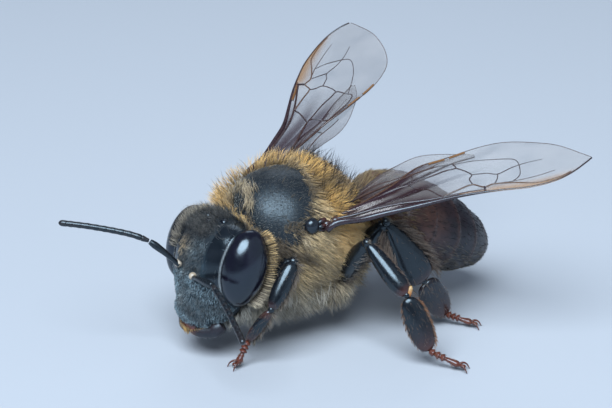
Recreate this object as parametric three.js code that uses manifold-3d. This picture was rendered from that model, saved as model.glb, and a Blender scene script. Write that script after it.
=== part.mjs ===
// A worker honey bee standing on a level floor, life size, in millimetres.
// +Z is up, the bee faces -Y and its left side is +X. The feet rest on z = 0.
import * as THREE from "three";
import { mergeVertices } from "three/addons/utils/BufferGeometryUtils.js";
import Module from "manifold-3d";

const wasm = await Module();
wasm.setup();
const { Manifold } = wasm;

// ---- driving sizes, mm ----
const GAP = 0.05; // between two pieces that meet
const SLAB = 0.5; // thickness of a wing
const FEELER_R = 0.25; // a feeler's half-thickness
const FOREWING = { length: 8.0, chord: 3.1 };
const HINDWING = { length: 4.6, chord: { left: 3.35, right: 2.5 } };
const HEAD = { x: 0.1, y: -2.52, z: 2.72, yaw: 9 };
const EYE = { x: 1.36, y: 0.0, z: 0.27, across: 0.6, deep: 0.73, tall: 1.16, lean: -17 };
const TEGULA = { size: [0.2, 0.25, 0.26], x: 1.76, y: -0.2, z: 4.0 };

// ---- fineness of the solids ----
const RIM = 18; // points round a body section
const STATIONS = 15; // sections along a body
const EDGE_STATIONS = 14; // points along each edge of a wing
const EYE_SEGMENTS = 14;
const TEGULA_SEGMENTS = 10;
const ROD_SIDES = 8;
const ROD_RINGS = { scape: 3, flagellum: 6, mouth: 5, leg: 3 };
const CAP_RINGS = [0.95, 0.6]; // places of a rounded end's rings, as parts of its radius
const CAP_REACH = 0.6; // how far a rounded end stands out, as a part of its radius
const WELD = 1e-4; // points nearer than this are one

// Each row: place along the body, height of the axis, half-width, rise above it, drop below it.
const THORAX = [
  [-2.3, 3.4, 0.1, 0.1, 0.1],
  [-2.05, 3.42, 0.95, 1.1, 0.95],
  [-1.5, 3.4, 1.5, 1.65, 2.15],
  [-0.8, 3.35, 1.85, 1.95, 2.75],
  [0.0, 3.35, 1.98, 1.98, 2.72],
  [0.8, 3.35, 1.92, 1.9, 2.35],
  [1.5, 3.35, 1.6, 1.55, 1.8],
  [2.1, 3.3, 1.05, 0.95, 1.15],
  [2.4, 3.25, 0.1, 0.1, 0.1],
];
const ABDOMEN = [
  [2.15, 3.25, 0.3, 0.3, 0.3],
  [2.6, 3.25, 1.25, 1.0, 1.15],
  [3.3, 3.12, 1.85, 1.4, 1.5],
  [4.2, 2.88, 2.02, 1.5, 1.58],
  [5.1, 2.52, 1.93, 1.38, 1.48],
  [6.0, 2.16, 1.55, 1.1, 1.22],
  [6.7, 1.86, 1.0, 0.75, 0.82],
  [7.1, 1.68, 0.52, 0.42, 0.44],
  [7.25, 1.6, 0.1, 0.1, 0.1],
];
// Each row: height, place of the axis front to back, half-width, reach to the front, reach to the back.
const HEAD_ROWS = [
  [-1.78, -0.6, 0.1, 0.1, 0.1],
  [-1.66, -0.52, 0.75, 0.52, 0.4],
  [-1.3, -0.25, 1.15, 0.9, 0.6],
  [-0.6, -0.05, 1.55, 1.1, 0.8],
  [0.0, 0.0, 1.72, 1.12, 0.9],
  [0.7, 0.02, 1.72, 0.96, 0.9],
  [1.2, 0.1, 1.48, 0.8, 0.78],
  [1.5, 0.18, 1.05, 0.56, 0.5],
  [1.64, 0.2, 0.1, 0.1, 0.1],
];

// ---- shapes ----
const v = (x, y, z) => new THREE.Vector3(x, y, z);
const rad = THREE.MathUtils.degToRad;

// A closed body through rings of points, each ring the same length, with a fan over each end.
function skinOf(rings) {
  const n = rings[0].length;
  const points = rings.flat();
  const faces = [];
  for (let i = 0; i + 1 < rings.length; i++) {
    for (let j = 0; j < n; j++) {
      const a = i * n + j;
      const b = i * n + ((j + 1) % n);
      faces.push(a, b, b + n, a, b + n, a + n);
    }
  }
  for (const [first, turn] of [[0, -1], [(rings.length - 1) * n, 1]]) {
    const middle = points.length;
    const sum = v(0, 0, 0);
    for (let j = 0; j < n; j++) sum.add(points[first + j]);
    points.push(sum.divideScalar(n));
    for (let j = 0; j < n; j++) {
      const k = (j + 1) % n;
      faces.push(middle, first + (turn > 0 ? j : k), first + (turn > 0 ? k : j));
    }
  }
  const g = new THREE.BufferGeometry();
  g.setAttribute("position", new THREE.Float32BufferAttribute(points.flatMap((p) => p.toArray()), 3));
  g.setIndex(faces);
  return g;
}

// A solid of a geometry, turned the right way out.
function solid(geometry) {
  const g = geometry.clone();
  g.deleteAttribute("normal");
  g.deleteAttribute("uv");
  const merged = mergeVertices(g, WELD);
  const mesh = (flip) => {
    const triVerts = new Uint32Array(merged.index.array);
    if (flip) {
      for (let i = 0; i < triVerts.length; i += 3) {
        [triVerts[i + 1], triVerts[i + 2]] = [triVerts[i + 2], triVerts[i + 1]];
      }
    }
    return new wasm.Mesh({ numProp: 3, vertProperties: merged.attributes.position.array, triVerts });
  };
  const made = new Manifold(mesh(false));
  return made.volume() > 0 ? made : new Manifold(mesh(true));
}

function geometryOf(made) {
  const mesh = made.getMesh();
  const g = new THREE.BufferGeometry();
  g.setAttribute("position", new THREE.BufferAttribute(mesh.vertProperties, 3));
  g.setIndex(new THREE.BufferAttribute(mesh.triVerts, 1));
  const flat = g.toNonIndexed();
  flat.computeVertexNormals();
  return flat;
}

// The rows of a table joined by a smooth curve, as `count` rows.
function smoothRows(rows, count) {
  const pick = (i) => rows[Math.min(Math.max(i, 0), rows.length - 1)];
  const out = [];
  for (let k = 0; k < count; k++) {
    const at = (k / (count - 1)) * (rows.length - 1);
    const i = Math.min(Math.floor(at), rows.length - 2);
    const t = at - i;
    out.push(
      pick(i).map((_, c) => {
        const [p0, p1, p2, p3] = [pick(i - 1)[c], pick(i)[c], pick(i + 1)[c], pick(i + 2)[c]];
        const m1 = (p2 - p0) / 2;
        const m2 = (p3 - p1) / 2;
        const a = 2 * t ** 3 - 3 * t ** 2 + 1;
        const b = t ** 3 - 2 * t ** 2 + t;
        return a * p1 + b * m1 + (1 - a) * p2 + (t ** 3 - t ** 2) * m2;
      }),
    );
  }
  return out;
}

// A body with oval sections across Y.
function trunk(rows, grow = 0) {
  const rings = smoothRows(rows, STATIONS).map(([y, z, wide, up, down]) => {
    const ring = [];
    for (let j = 0; j < RIM; j++) {
      const t = (j / RIM) * 2 * Math.PI;
      const rise = Math.sin(t) > 0 ? up : down;
      ring.push(v((wide + grow) * Math.cos(t), y, z + (rise + grow) * Math.sin(t)));
    }
    return ring;
  });
  return solid(skinOf(rings));
}

// The head, with oval sections across Z, in its own frame.
function skull(grow = 0) {
  const rings = smoothRows(HEAD_ROWS, STATIONS).map(([z, y, wide, front, back]) => {
    const ring = [];
    for (let j = 0; j < RIM; j++) {
      const t = (j / RIM) * 2 * Math.PI;
      const reach = Math.sin(t) < 0 ? front : back;
      ring.push(v((wide + grow) * Math.cos(t), y + (reach + grow) * Math.sin(t), z));
    }
    return ring;
  });
  return inHead(skinOf(rings));
}

const headPlace = new THREE.Matrix4()
  .makeTranslation(HEAD.x, HEAD.y, HEAD.z)
  .multiply(new THREE.Matrix4().makeRotationZ(rad(HEAD.yaw)));
const headPoint = (x, y, z) => v(x, y, z).applyMatrix4(headPlace);
const inHead = (g) => solid(g.applyMatrix4(headPlace));

// An oval ball, leaning `lean` degrees about X.
function ball(size, place, lean, segments) {
  const g = new THREE.SphereGeometry(1, segments, Math.round(segments * 0.7));
  g.scale(...size);
  g.rotateX(rad(lean));
  g.translate(...place);
  return g;
}

// A round rod along a smooth line through `points`, whose half-thickness follows `radii`, with rounded
// ends. `grow` is added to its half-thickness and `rings` is how many sections it has.
function rod(points, radii, grow, rings, press = v(0, 0, 1)) {
  const curve = new THREE.CatmullRomCurve3(points, false, "centripetal");
  const long = curve.getLength();
  const radiusAt = (t) => {
    const at = t * (radii.length - 1);
    const i = Math.min(Math.floor(at), radii.length - 2);
    return radii[i] + (radii[i + 1] - radii[i]) * (at - i);
  };
  const sections = Array.from({ length: rings + 1 }, (_, k) => [k / rings, 1]);
  const cap = (t, side) => {
    const out = (side * radiusAt(t) * CAP_REACH) / long;
    return CAP_RINGS.map((a) => [t + out * a, Math.sqrt(1 - a * a)]);
  };
  const all = [...cap(0, -1), ...sections, ...cap(1, 1).reverse()];
  const made = all.map(([t, scale]) => {
    const inside = Math.min(Math.max(t, 0), 1);
    const along = curve.getTangentAt(inside);
    const centre = curve.getPointAt(inside).addScaledVector(along, (t - inside) * long);
    const across = new THREE.Vector3().crossVectors(along, press).normalize();
    const thin = new THREE.Vector3().crossVectors(across, along).normalize();
    const r = radiusAt(inside) * scale + grow;
    const ring = [];
    for (let j = 0; j < ROD_SIDES; j++) {
      const a = (j / ROD_SIDES) * 2 * Math.PI;
      const point = centre.clone().addScaledVector(across, r * Math.cos(a));
      ring.push(point.addScaledVector(thin, r * Math.sin(a)));
    }
    return ring;
  });
  return solid(skinOf(made));
}

// ---- wings ----
// Half-outlines of a wing: place along it, front edge and rear edge, as parts of its length and chord.
const FOREWING_EDGE = [
  [0.0, -0.1, 0.14],
  [0.09, -0.05, 0.24],
  [0.17, 0.0, 0.36],
  [0.27, 0.03, 0.54],
  [0.36, 0.05, 0.74],
  [0.46, 0.03, 0.87],
  [0.56, 0.0, 0.98],
  [0.66, -0.02, 1.01],
  [0.76, -0.03, 0.92],
  [0.86, 0.02, 0.75],
  [0.93, 0.11, 0.58],
  [0.98, 0.23, 0.42],
  [1.0, 0.3, 0.34],
];
const HINDWING_EDGE = [
  [0.04, 0.2, 0.25],
  [0.15, 0.22, 0.48],
  [0.3, 0.3, 0.72],
  [0.45, 0.4, 0.9],
  [0.6, 0.55, 1.0],
  [0.75, 0.65, 1.0],
  [0.9, 0.75, 0.94],
  [1.0, 0.8, 0.86],
];

function wing(edge, length, chord, frame, thick) {
  const rows = smoothRows(edge, EDGE_STATIONS);
  const outline = [
    ...rows.map(([t, front]) => [t * length, front * chord]),
    ...rows.reverse().map(([t, , rear]) => [t * length, rear * chord]),
  ];
  const shape = new THREE.Shape(outline.map(([a, b]) => new THREE.Vector2(a, b)));
  const g = new THREE.ExtrudeGeometry(shape, { depth: thick, bevelEnabled: false });
  g.translate(0, 0, -thick / 2);
  g.applyMatrix4(frame);
  return solid(g);
}

// A wing's frame: root, turn out from straight back, lift of the tip and lift of the rear edge, degrees.
function wingFrame(side, root, out, lift, roll) {
  const [o, l, r] = [out, lift, roll].map(rad);
  const span = v(side * Math.sin(o) * Math.cos(l), Math.cos(o) * Math.cos(l), Math.sin(l));
  const level = v(-side * Math.cos(o), Math.sin(o), 0);
  const up = new THREE.Vector3().crossVectors(span, level).multiplyScalar(side);
  const chord = level.multiplyScalar(Math.cos(r)).addScaledVector(up, Math.sin(r));
  const normal = new THREE.Vector3().crossVectors(span, chord);
  return new THREE.Matrix4().makeBasis(span, chord, normal).setPosition(...root);
}

const WINGS = {
  left: wingFrame(1, [1.8, 0.25, 4.0], 32, 12, 8),
  right: wingFrame(-1, [-1.8, -0.33, 4.31], 42, 22, 15),
};

// ---- legs: hip, knee, ankle, heel and foot ----
const LEGS = {
  fore_left: {
    joints: [
      [0.7, -1.5, 1.9], [1.95, -0.95, 3.1], [2.22, -1.85, 1.86],
      [1.72, -2.37, 0.8], [1.71, -2.72, 0.06],
    ],
    thick: [[0.27, 0.3, 0.25], [0.22, 0.27, 0.25], [0.25, 0.25, 0.25], [0.25, 0.25, 0.25]],
  },
  mid_left: {
    joints: [
      [1.1, 1.15, 1.7], [2.63, 1.16, 3.5], [3.93, 1.73, 2.19],
      [4.48, 2.19, 0.52], [5.2, 2.9, 0.16],
    ],
    thick: [[0.28, 0.32, 0.25], [0.25, 0.29, 0.25], [0.27, 0.36, 0.27], [0.25, 0.25, 0.25]],
  },
  hind_left: {
    joints: [
      [0.8, 1.6, 1.9], [1.99, 2.21, 3.75], [2.31, 3.4, 1.72],
      [2.12, 4.38, 0.33], [2.74, 5.0, 0.17],
    ],
    thick: [[0.3, 0.34, 0.28], [0.28, 0.52, 0.5], [0.42, 0.45, 0.3], [0.25, 0.25, 0.25]],
  },
  fore_right: {
    joints: [
      [-0.7, -1.5, 1.9], [-2.0, -1.0, 2.9], [-2.1, -1.35, 1.55],
      [-1.85, -1.5, 0.65], [-1.62, -1.55, 0.06],
    ],
    thick: [[0.27, 0.3, 0.25], [0.22, 0.27, 0.25], [0.25, 0.25, 0.25], [0.25, 0.25, 0.25]],
  },
  mid_right: {
    joints: [
      [-1.1, 1.15, 1.7], [-2.6, 1.1, 3.3], [-3.6, 1.6, 1.85],
      [-4.2, 1.9, 0.5], [-4.9, 2.3, 0.16],
    ],
    thick: [[0.28, 0.32, 0.25], [0.25, 0.29, 0.25], [0.27, 0.36, 0.27], [0.25, 0.25, 0.25]],
  },
  hind_right: {
    joints: [
      [-0.8, 1.6, 1.9], [-2.1, 2.5, 3.6], [-2.9, 3.7, 1.75],
      [-3.0, 4.25, 0.5], [-3.3, 4.9, 0.16],
    ],
    thick: [[0.3, 0.34, 0.28], [0.28, 0.52, 0.5], [0.42, 0.45, 0.3], [0.25, 0.25, 0.25]],
  },
};
const LEG_PIECES = ["femur", "tibia", "basitarsus", "tarsus"];
const JOINT_INSET = 0.6; // how far a leg piece stops short of its joint, as a part of its half-thickness
const LEG_PRESS = v(0.3, 0.2, 1);

function legPiece(leg, index, grow) {
  const [a, b] = [v(...leg.joints[index]), v(...leg.joints[index + 1])];
  const thick = leg.thick[index];
  const along = b.clone().sub(a).normalize();
  const isFoot = index === LEG_PIECES.length - 1;
  const start = a.clone().addScaledVector(along, thick[0] * JOINT_INSET);
  const end = b.clone().addScaledVector(along, isFoot ? 0 : -thick[2] * JOINT_INSET);
  return rod([start, end], thick, grow, ROD_RINGS.leg, LEG_PRESS);
}

// ---- feelers and mouthparts ----
const SCAPES = {
  left: [[0.54, -3.5, 2.6], [1.72, -3.51, 2.79]],
  right: [[-0.2, -3.65, 2.8], [-0.58, -4.36, 3.54]],
};
const FLAGELLA = {
  left: [[1.78, -3.51, 2.79], [2.53, -3.56, 2.52], [3.35, -3.65, 2.19], [4.1, -3.78, 1.91]],
  right: [[-0.6, -4.38, 3.58], [-0.97, -4.88, 3.76], [-1.59, -5.82, 3.96], [-2.1, -6.6, 4.06]],
};
const MANDIBLE = {
  line: [[0.85, -0.45, -1.62], [0.6, -0.72, -1.85], [0.2, -0.98, -1.9]],
  thick: [0.25, 0.26, 0.25],
};
const PROBOSCIS = {
  line: [[0, -0.45, -1.7], [0, 0.15, -1.78], [0, 0.75, -1.62]],
  thick: [0.25, 0.27, 0.25],
};
const feelerRod = (line, grow, rings) => rod(line.map((p) => v(...p)), [FEELER_R, FEELER_R], grow, rings);

// ---- the list of pieces, the ones before cutting the ones after ----
const COLOURS = {
  eye: 0x14121f,
  head: 0x2a2b30,
  mandible: 0x3a3340,
  tegula: 0x15161c,
  proboscis: 0x4a3426,
  thorax: 0x9a7a48,
  abdomen: 0x4a3524,
  scape: 0x17181d,
  flagellum: 0x201c1e,
  forewing: 0xb9b7b0,
  hindwing: 0xb0aea8,
  leg: 0x1c1a1c,
};
const SIDES = { left: 1, right: -1 };
const pieces = [];
const add = (name, colour, make) => pieces.push({ name, colour, make });

for (const [side, sign] of Object.entries(SIDES)) {
  add(`eye_${side}`, COLOURS.eye, (grow) => {
    const size = [EYE.across + grow, EYE.deep + grow, EYE.tall + grow];
    return inHead(ball(size, [sign * EYE.x, EYE.y, EYE.z], EYE.lean, EYE_SEGMENTS));
  });
}
add("head", COLOURS.head, skull);
for (const [side, sign] of Object.entries(SIDES)) {
  add(`mandible_${side}`, COLOURS.mandible, (grow) => {
    const points = MANDIBLE.line.map(([x, y, z]) => headPoint(sign * x, y, z));
    return rod(points, MANDIBLE.thick, grow, ROD_RINGS.mouth);
  });
  add(`tegula_${side}`, COLOURS.tegula, (grow) => {
    const size = TEGULA.size.map((half) => half + grow);
    return solid(ball(size, [sign * TEGULA.x, TEGULA.y, TEGULA.z], 0, TEGULA_SEGMENTS));
  });
}
add("proboscis", COLOURS.proboscis, (grow) => {
  const points = PROBOSCIS.line.map((p) => headPoint(...p));
  return rod(points, PROBOSCIS.thick, grow, ROD_RINGS.mouth);
});
add("thorax", COLOURS.thorax, (grow) => trunk(THORAX, grow));
add("abdomen", COLOURS.abdomen, (grow) => trunk(ABDOMEN, grow));
for (const side of Object.keys(SIDES)) {
  add(`scape_${side}`, COLOURS.scape, (grow) => feelerRod(SCAPES[side], grow, ROD_RINGS.scape));
  add(`flagellum_${side}`, COLOURS.flagellum, (grow) => (
    feelerRod(FLAGELLA[side], grow, ROD_RINGS.flagellum)
  ));
}
for (const side of Object.keys(SIDES)) {
  const frame = WINGS[side];
  const { length, chord } = HINDWING;
  add(`forewing_${side}`, COLOURS.forewing, (grow) => (
    wing(FOREWING_EDGE, FOREWING.length, FOREWING.chord, frame, SLAB + 2 * grow)
  ));
  add(`hindwing_${side}`, COLOURS.hindwing, (grow) => (
    wing(HINDWING_EDGE, length, chord[side], frame, SLAB + 2 * grow)
  ));
}
for (const [name, leg] of Object.entries(LEGS)) {
  LEG_PIECES.forEach((piece, i) => add(`${piece}_${name}`, COLOURS.leg, (grow) => legPiece(leg, i, grow)));
}

const root = new THREE.Group();
const grown = pieces.map(({ make }) => make(GAP));
const reaches = grown.map((made) => {
  const { min, max } = made.boundingBox();
  return new THREE.Box3(v(...min), v(...max));
});
pieces.forEach(({ name, make, colour }, i) => {
  let made = make(0).trimByPlane([0, 0, 1], 0); // nothing goes below the floor
  for (let k = 0; k < i; k++) {
    if (reaches[k].intersectsBox(reaches[i])) made = made.subtract(grown[k]);
  }
  const parts = made.decompose().sort((a, b) => b.volume() - a.volume());
  const mesh = new THREE.Mesh(
    geometryOf(parts[0]),
    new THREE.MeshStandardMaterial({ color: colour, roughness: 0.5 }),
  );
  mesh.name = name;
  root.add(mesh);
});

// The origin is the middle of the footprint at floor level.
const box = new THREE.Box3().setFromObject(root);
const centre = box.getCenter(v(0, 0, 0));
root.children.forEach((mesh) => mesh.geometry.translate(-centre.x, -centre.y, -box.min.z));

export default root;
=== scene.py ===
"""A worker honey bee, life size, standing on a pale floor. Shapes are worked out in millimetres in the
bee's own frame (+Z up, head towards -Y, its left side +X) and published in metres in the CAD frame."""
import math

import bmesh
import bpy
import numpy as np
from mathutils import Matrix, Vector
from mathutils.kdtree import KDTree


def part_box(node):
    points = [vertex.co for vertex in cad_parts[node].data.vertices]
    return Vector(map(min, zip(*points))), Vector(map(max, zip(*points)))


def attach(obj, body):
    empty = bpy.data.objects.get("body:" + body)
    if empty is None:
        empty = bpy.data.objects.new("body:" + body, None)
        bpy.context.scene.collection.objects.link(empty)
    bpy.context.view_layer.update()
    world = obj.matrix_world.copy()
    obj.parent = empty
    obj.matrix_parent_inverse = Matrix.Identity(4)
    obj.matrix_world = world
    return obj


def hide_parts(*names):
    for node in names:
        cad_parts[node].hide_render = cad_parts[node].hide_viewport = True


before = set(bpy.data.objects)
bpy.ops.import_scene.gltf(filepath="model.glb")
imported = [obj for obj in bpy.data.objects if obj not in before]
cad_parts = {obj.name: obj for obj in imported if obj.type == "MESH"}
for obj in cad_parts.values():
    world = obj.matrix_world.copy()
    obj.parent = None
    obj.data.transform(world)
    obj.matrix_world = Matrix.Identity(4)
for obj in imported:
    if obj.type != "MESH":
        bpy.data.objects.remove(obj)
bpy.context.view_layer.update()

# ---- driving sizes, mm and degrees, those of the solids ----
MM = 0.001
TAIL_Y = 7.25
HEAD = dict(x=0.1, y=-2.52, z=2.72, yaw=9.0)
EYE = dict(x=1.36, y=0.0, z=0.27, across=0.6, deep=0.73, tall=1.16, lean=-17.0)
FOREWING_LENGTH, FOREWING_CHORD = 8.0, 3.1
HINDWING_LENGTH, HINDWING_CHORD = 4.6, {"left": 3.35, "right": 2.5}
WING_PLACE = {  # side, root, turn out from straight back, lift of the tip, lift of the rear edge
    "left": (1, (1.8, 0.25, 4.0), 32.0, 12.0, 8.0),
    "right": (-1, (-1.8, -0.33, 4.31), 42.0, 22.0, 15.0),
}
CAMERA = dict(azimuth=60.0, elevation=20.0, distance=60.0, per_mm=34.0, aim=(1.75, 0.0, 4.0),
              aim_px=(318.0, 225.0), frame_px=(612, 408), sensor=36.0)
HANDS = ((1, "left"), (-1, "right"))

tail_low, tail_high = (np.array(corner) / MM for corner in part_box("abdomen"))
ORIGIN = np.array([(tail_low[0] + tail_high[0]) / 2, tail_high[1] - TAIL_Y, 0.0])
HEAD_PLACE = np.array([HEAD["x"], HEAD["y"], HEAD["z"]])
EYE_SIZE = np.array([EYE["across"], EYE["deep"], EYE["tall"]])
rng = np.random.default_rng(7)


# ---- small maths ----
def unit(a):
    a = np.asarray(a, float)
    return a / np.maximum(np.linalg.norm(a, axis=-1, keepdims=True), 1e-12)


def smoothstep(low, high, x):
    t = np.clip((x - low) / (high - low), 0.0, 1.0)
    return t * t * (3 - 2 * t)


def bell(x, width):
    return np.exp(-(x / width) ** 2)


def mix(a, b, t):
    return a + (b - a) * t


def ways(x, y, z):
    """A row of x, y and z for each point, from numbers or arrays."""
    return np.stack(np.broadcast_arrays(x, y, z), -1).astype(float)


def turned(points, degrees, i, j):
    """Points turned from axis i towards axis j."""
    c, s = math.cos(math.radians(degrees)), math.sin(math.radians(degrees))
    p = np.array(points, float)
    p[..., i], p[..., j] = p[..., i] * c - p[..., j] * s, p[..., i] * s + p[..., j] * c
    return p


def smooth_rows(rows, count):
    """A smooth curve through the rows of a table, as `count` rows."""
    rows = np.asarray(rows, float)
    at = np.linspace(0, len(rows) - 1, count)
    i = np.minimum(at.astype(int), len(rows) - 2)
    t = (at - i)[:, None]
    p0, p1, p2, p3 = (rows[np.clip(i + k, 0, len(rows) - 1)] for k in (-1, 0, 1, 2))
    m1, m2 = (p2 - p0) / 2, (p3 - p1) / 2
    a = 2 * t ** 3 - 3 * t ** 2 + 1
    return a * p1 + (t ** 3 - 2 * t ** 2 + t) * m1 + (1 - a) * p2 + (t ** 3 - t ** 2) * m2


def along_table(table, t, steps=200):
    """A smooth value at each t (0 to 1) from a short list of values spaced evenly."""
    rows = smooth_rows(np.asarray(table, float)[:, None], steps)[:, 0]
    return np.interp(t, np.linspace(0, 1, steps), rows)


def head_out(points):
    """Head frame to bee frame."""
    return turned(points, HEAD["yaw"], 0, 1) + HEAD_PLACE


def head_in(points):
    """Bee frame to head frame."""
    return turned(np.asarray(points, float) - HEAD_PLACE, -HEAD["yaw"], 0, 1)


def noise3(p, scale, seed=0):
    """A cheap smooth wobble of about -1 to 1, the same each run."""
    r = np.random.default_rng(100 + seed)
    total = np.zeros(p.shape[:-1])
    for _ in range(6):
        k = r.normal(size=3) * scale
        total += np.sin(p @ k + r.uniform(0, 6.28))
    return total / 3.0


# ---- meshes ----
def rings_mesh(rings):
    """Points and faces of a closed body through rings (an array: rings, around, 3)."""
    count, around = rings.shape[:2]
    i, j = np.meshgrid(np.arange(count - 1), np.arange(around), indexing="ij")
    a, b = i * around + j, i * around + (j + 1) % around
    faces = np.stack([a, b, b + around, a + around], -1).reshape(-1, 4).tolist()
    low, last = count * around, (count - 1) * around
    for k in range(around):
        n = (k + 1) % around
        faces += [[low, n, k], [low + 1, last + k, last + n]]
    return np.vstack([rings.reshape(-1, 3), rings[0].mean(0), rings[-1].mean(0)]), faces


def join(parts):
    """Several (points, faces) as one."""
    verts, faces, first = [], [], 0
    for points, polygons in parts:
        verts.append(points)
        faces += [[k + first for k in f] for f in polygons]
        first += len(points)
    return np.vstack(verts), faces


def ellipsoid(centre, size, turn_x, around, rings):
    """A ball of half-sizes `size`, leaning by turn_x from +Y towards +Z."""
    size = np.broadcast_to(np.asarray(size, float), 3)
    t = np.linspace(0, math.pi, rings + 2)[1:-1, None]
    a = np.linspace(0, 2 * math.pi, around, endpoint=False)[None]
    body = np.stack([np.sin(t) * np.cos(a), np.sin(t) * np.sin(a), -np.cos(t) * np.ones_like(a)], -1)
    verts, faces = rings_mesh(turned(body * size, turn_x, 1, 2))
    verts[-2:] = turned([[0, 0, -size[2]], [0, 0, size[2]]], turn_x, 1, 2)
    return verts + np.asarray(centre), faces


def swept(centre, wide, deep, outward, sides):
    """A closed body round a line of points, with its half-sizes at each."""
    along = unit(np.gradient(centre, axis=0))
    across = unit(np.cross(along, np.asarray(outward, float)))
    out = unit(np.cross(across, along))
    angle = np.linspace(0, 2 * math.pi, sides, endpoint=False)[None, :, None]
    return rings_mesh(centre[:, None] + across[:, None] * wide[:, None, None] * np.cos(angle)
                      + out[:, None] * deep[:, None, None] * np.sin(angle))


def limb(a, b, wide, deep=None, outward=(1, 0, 0), bow=(0, 0, 0), sides=20, rings=26):
    """A rounded piece from a to b. wide and deep list its half-sizes along it; outward is the way its
    flatter face looks; bow bends its middle."""
    a, b = np.asarray(a, float), np.asarray(b, float)
    t = (1 - np.cos(np.linspace(0, math.pi, rings))) / 2
    taper = np.sqrt(np.clip(1 - (2 * t - 1) ** 8, 0.02, 1))
    centre = a + (b - a) * t[:, None] + np.asarray(bow, float) * np.sin(math.pi * t)[:, None]
    deep = wide if deep is None else deep
    return swept(centre, along_table(wide, t) * taper, along_table(deep, t) * taper, outward, sides)


def tube(points, radii, sides=8):
    """A thin tube along points, with a half-thickness at each."""
    points = np.asarray(points, float)
    radii = np.broadcast_to(np.asarray(radii, float), len(points))
    return swept(points, radii, radii, (0.31, 0.17, 0.93), sides)


def add_object(name, data):
    made = bpy.data.objects.new(name, data)
    bpy.context.scene.collection.objects.link(made)
    return made


def new_mesh(name, verts, faces, fix=True):
    """A mesh, its faces turned outwards when `fix` is set."""
    mesh = bpy.data.meshes.new(name)
    mesh.from_pydata([tuple(p) for p in verts], [], faces)
    mesh.update()
    if fix:
        bm = bmesh.new()
        bm.from_mesh(mesh)
        bmesh.ops.recalc_face_normals(bm, faces=bm.faces)
        bm.to_mesh(mesh)
        bm.free()
    return mesh


def set_attribute(mesh, key, values):
    layer = mesh.attributes.new(key, "FLOAT", "POINT")
    layer.data.foreach_set("value", np.full(len(mesh.vertices), values, np.float32))


def ride(name, mesh, material):
    """The mesh as a smooth object that rides on the body root."""
    piece = add_object(name, mesh)
    mesh.materials.append(material)
    mesh.polygons.foreach_set("use_smooth", [True] * len(mesh.polygons))
    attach(piece, "root")
    return piece


def publish(name, body, material, slot, *replaces, fix=True, **attributes):
    """A body as a piece in the CAD frame, in place of the nodes it replaces."""
    verts, faces = body
    mesh = new_mesh(name, (np.asarray(verts) + ORIGIN) * MM, faces, fix)
    for key, values in attributes.items():
        set_attribute(mesh, key, values)
    piece = ride(name, mesh, material)
    if replaces:
        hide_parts(*replaces)


# ---- materials ----
SHEEN = (0.66, 0.86, 1.0)


class Paint:
    """A material and short ways to wire its nodes. Coordinates are in millimetres."""

    def __init__(self, name):
        self.material = bpy.data.materials.new(name)
        self.material.use_nodes = True
        self.tree = self.material.node_tree
        self.shader = self.tree.nodes["Principled BSDF"]
        place = self.node("ShaderNodeTexCoord").outputs["Object"]
        scaled = self.node("ShaderNodeMapping", {"Vector": place, "Scale": (1 / MM,) * 3})
        self.place = scaled.outputs["Vector"]

    def node(self, kind, inputs=None, **settings):
        """A new node. Each of its inputs is given as a number, a colour or another node's output."""
        made = self.tree.nodes.new(kind)
        for key, value in settings.items():
            setattr(made, key, value)
        for key, value in (inputs or {}).items():
            self.feed(made.inputs[key], value)
        return made

    def feed(self, socket, value):
        if isinstance(value, bpy.types.NodeSocket):
            self.tree.links.new(value, socket)
        else:
            socket.default_value = (*value, 1.0) if socket.type == "RGBA" else value

    def set(self, **values):
        for key, value in values.items():
            self.feed(self.shader.inputs[key.replace("_", " ")], value)

    def noise(self, scale, detail, rough=0.5):
        return self.node("ShaderNodeTexNoise", {"Vector": self.place, "Scale": scale, "Detail": detail,
                                                "Roughness": rough}).outputs["Fac"]

    def cells(self, scale, **settings):
        return self.node("ShaderNodeTexVoronoi", {"Vector": self.place, "Scale": scale},
                         **settings).outputs["Distance"]

    def mottle(self, scale, detail, dark, light, low=0.3, high=0.7):
        """Noise as a colour, from dark to light."""
        made = self.node("ShaderNodeValToRGB", {"Fac": self.noise(scale, detail)})
        for point, at, colour in zip(made.color_ramp.elements, (low, high), (dark, light)):
            point.position, point.color = at, (*colour, 1.0)
        return made.outputs["Color"]

    def values(self, fac, low, high, to_low, to_high):
        return self.node("ShaderNodeMapRange", {"Value": fac, "From Min": low, "From Max": high,
                                                "To Min": to_low, "To Max": to_high}).outputs["Result"]

    def vary(self, scale, low, high):
        """Noise as a number between low and high."""
        return self.values(self.noise(scale, 3.0), 0.3, 0.7, low, high)

    def maths(self, operation, *inputs):
        return self.node("ShaderNodeMath", dict(enumerate(inputs)), operation=operation).outputs[0]

    def attribute(self, key):
        return self.node("ShaderNodeAttribute", attribute_name=key).outputs["Fac"]

    def blend(self, fac, a, b):
        return self.node("ShaderNodeMix", {0: fac, 6: a, 7: b}, data_type="RGBA").outputs[2]

    def bump(self, height, distance, strength, **under):
        """A bump of `distance` mm, over another one when Normal gives it."""
        made = self.node("ShaderNodeBump", {"Height": height, "Distance": distance * MM,
                                            "Strength": strength, **under})
        self.set(Normal=made.outputs["Normal"])
        return made.outputs["Normal"]


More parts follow.
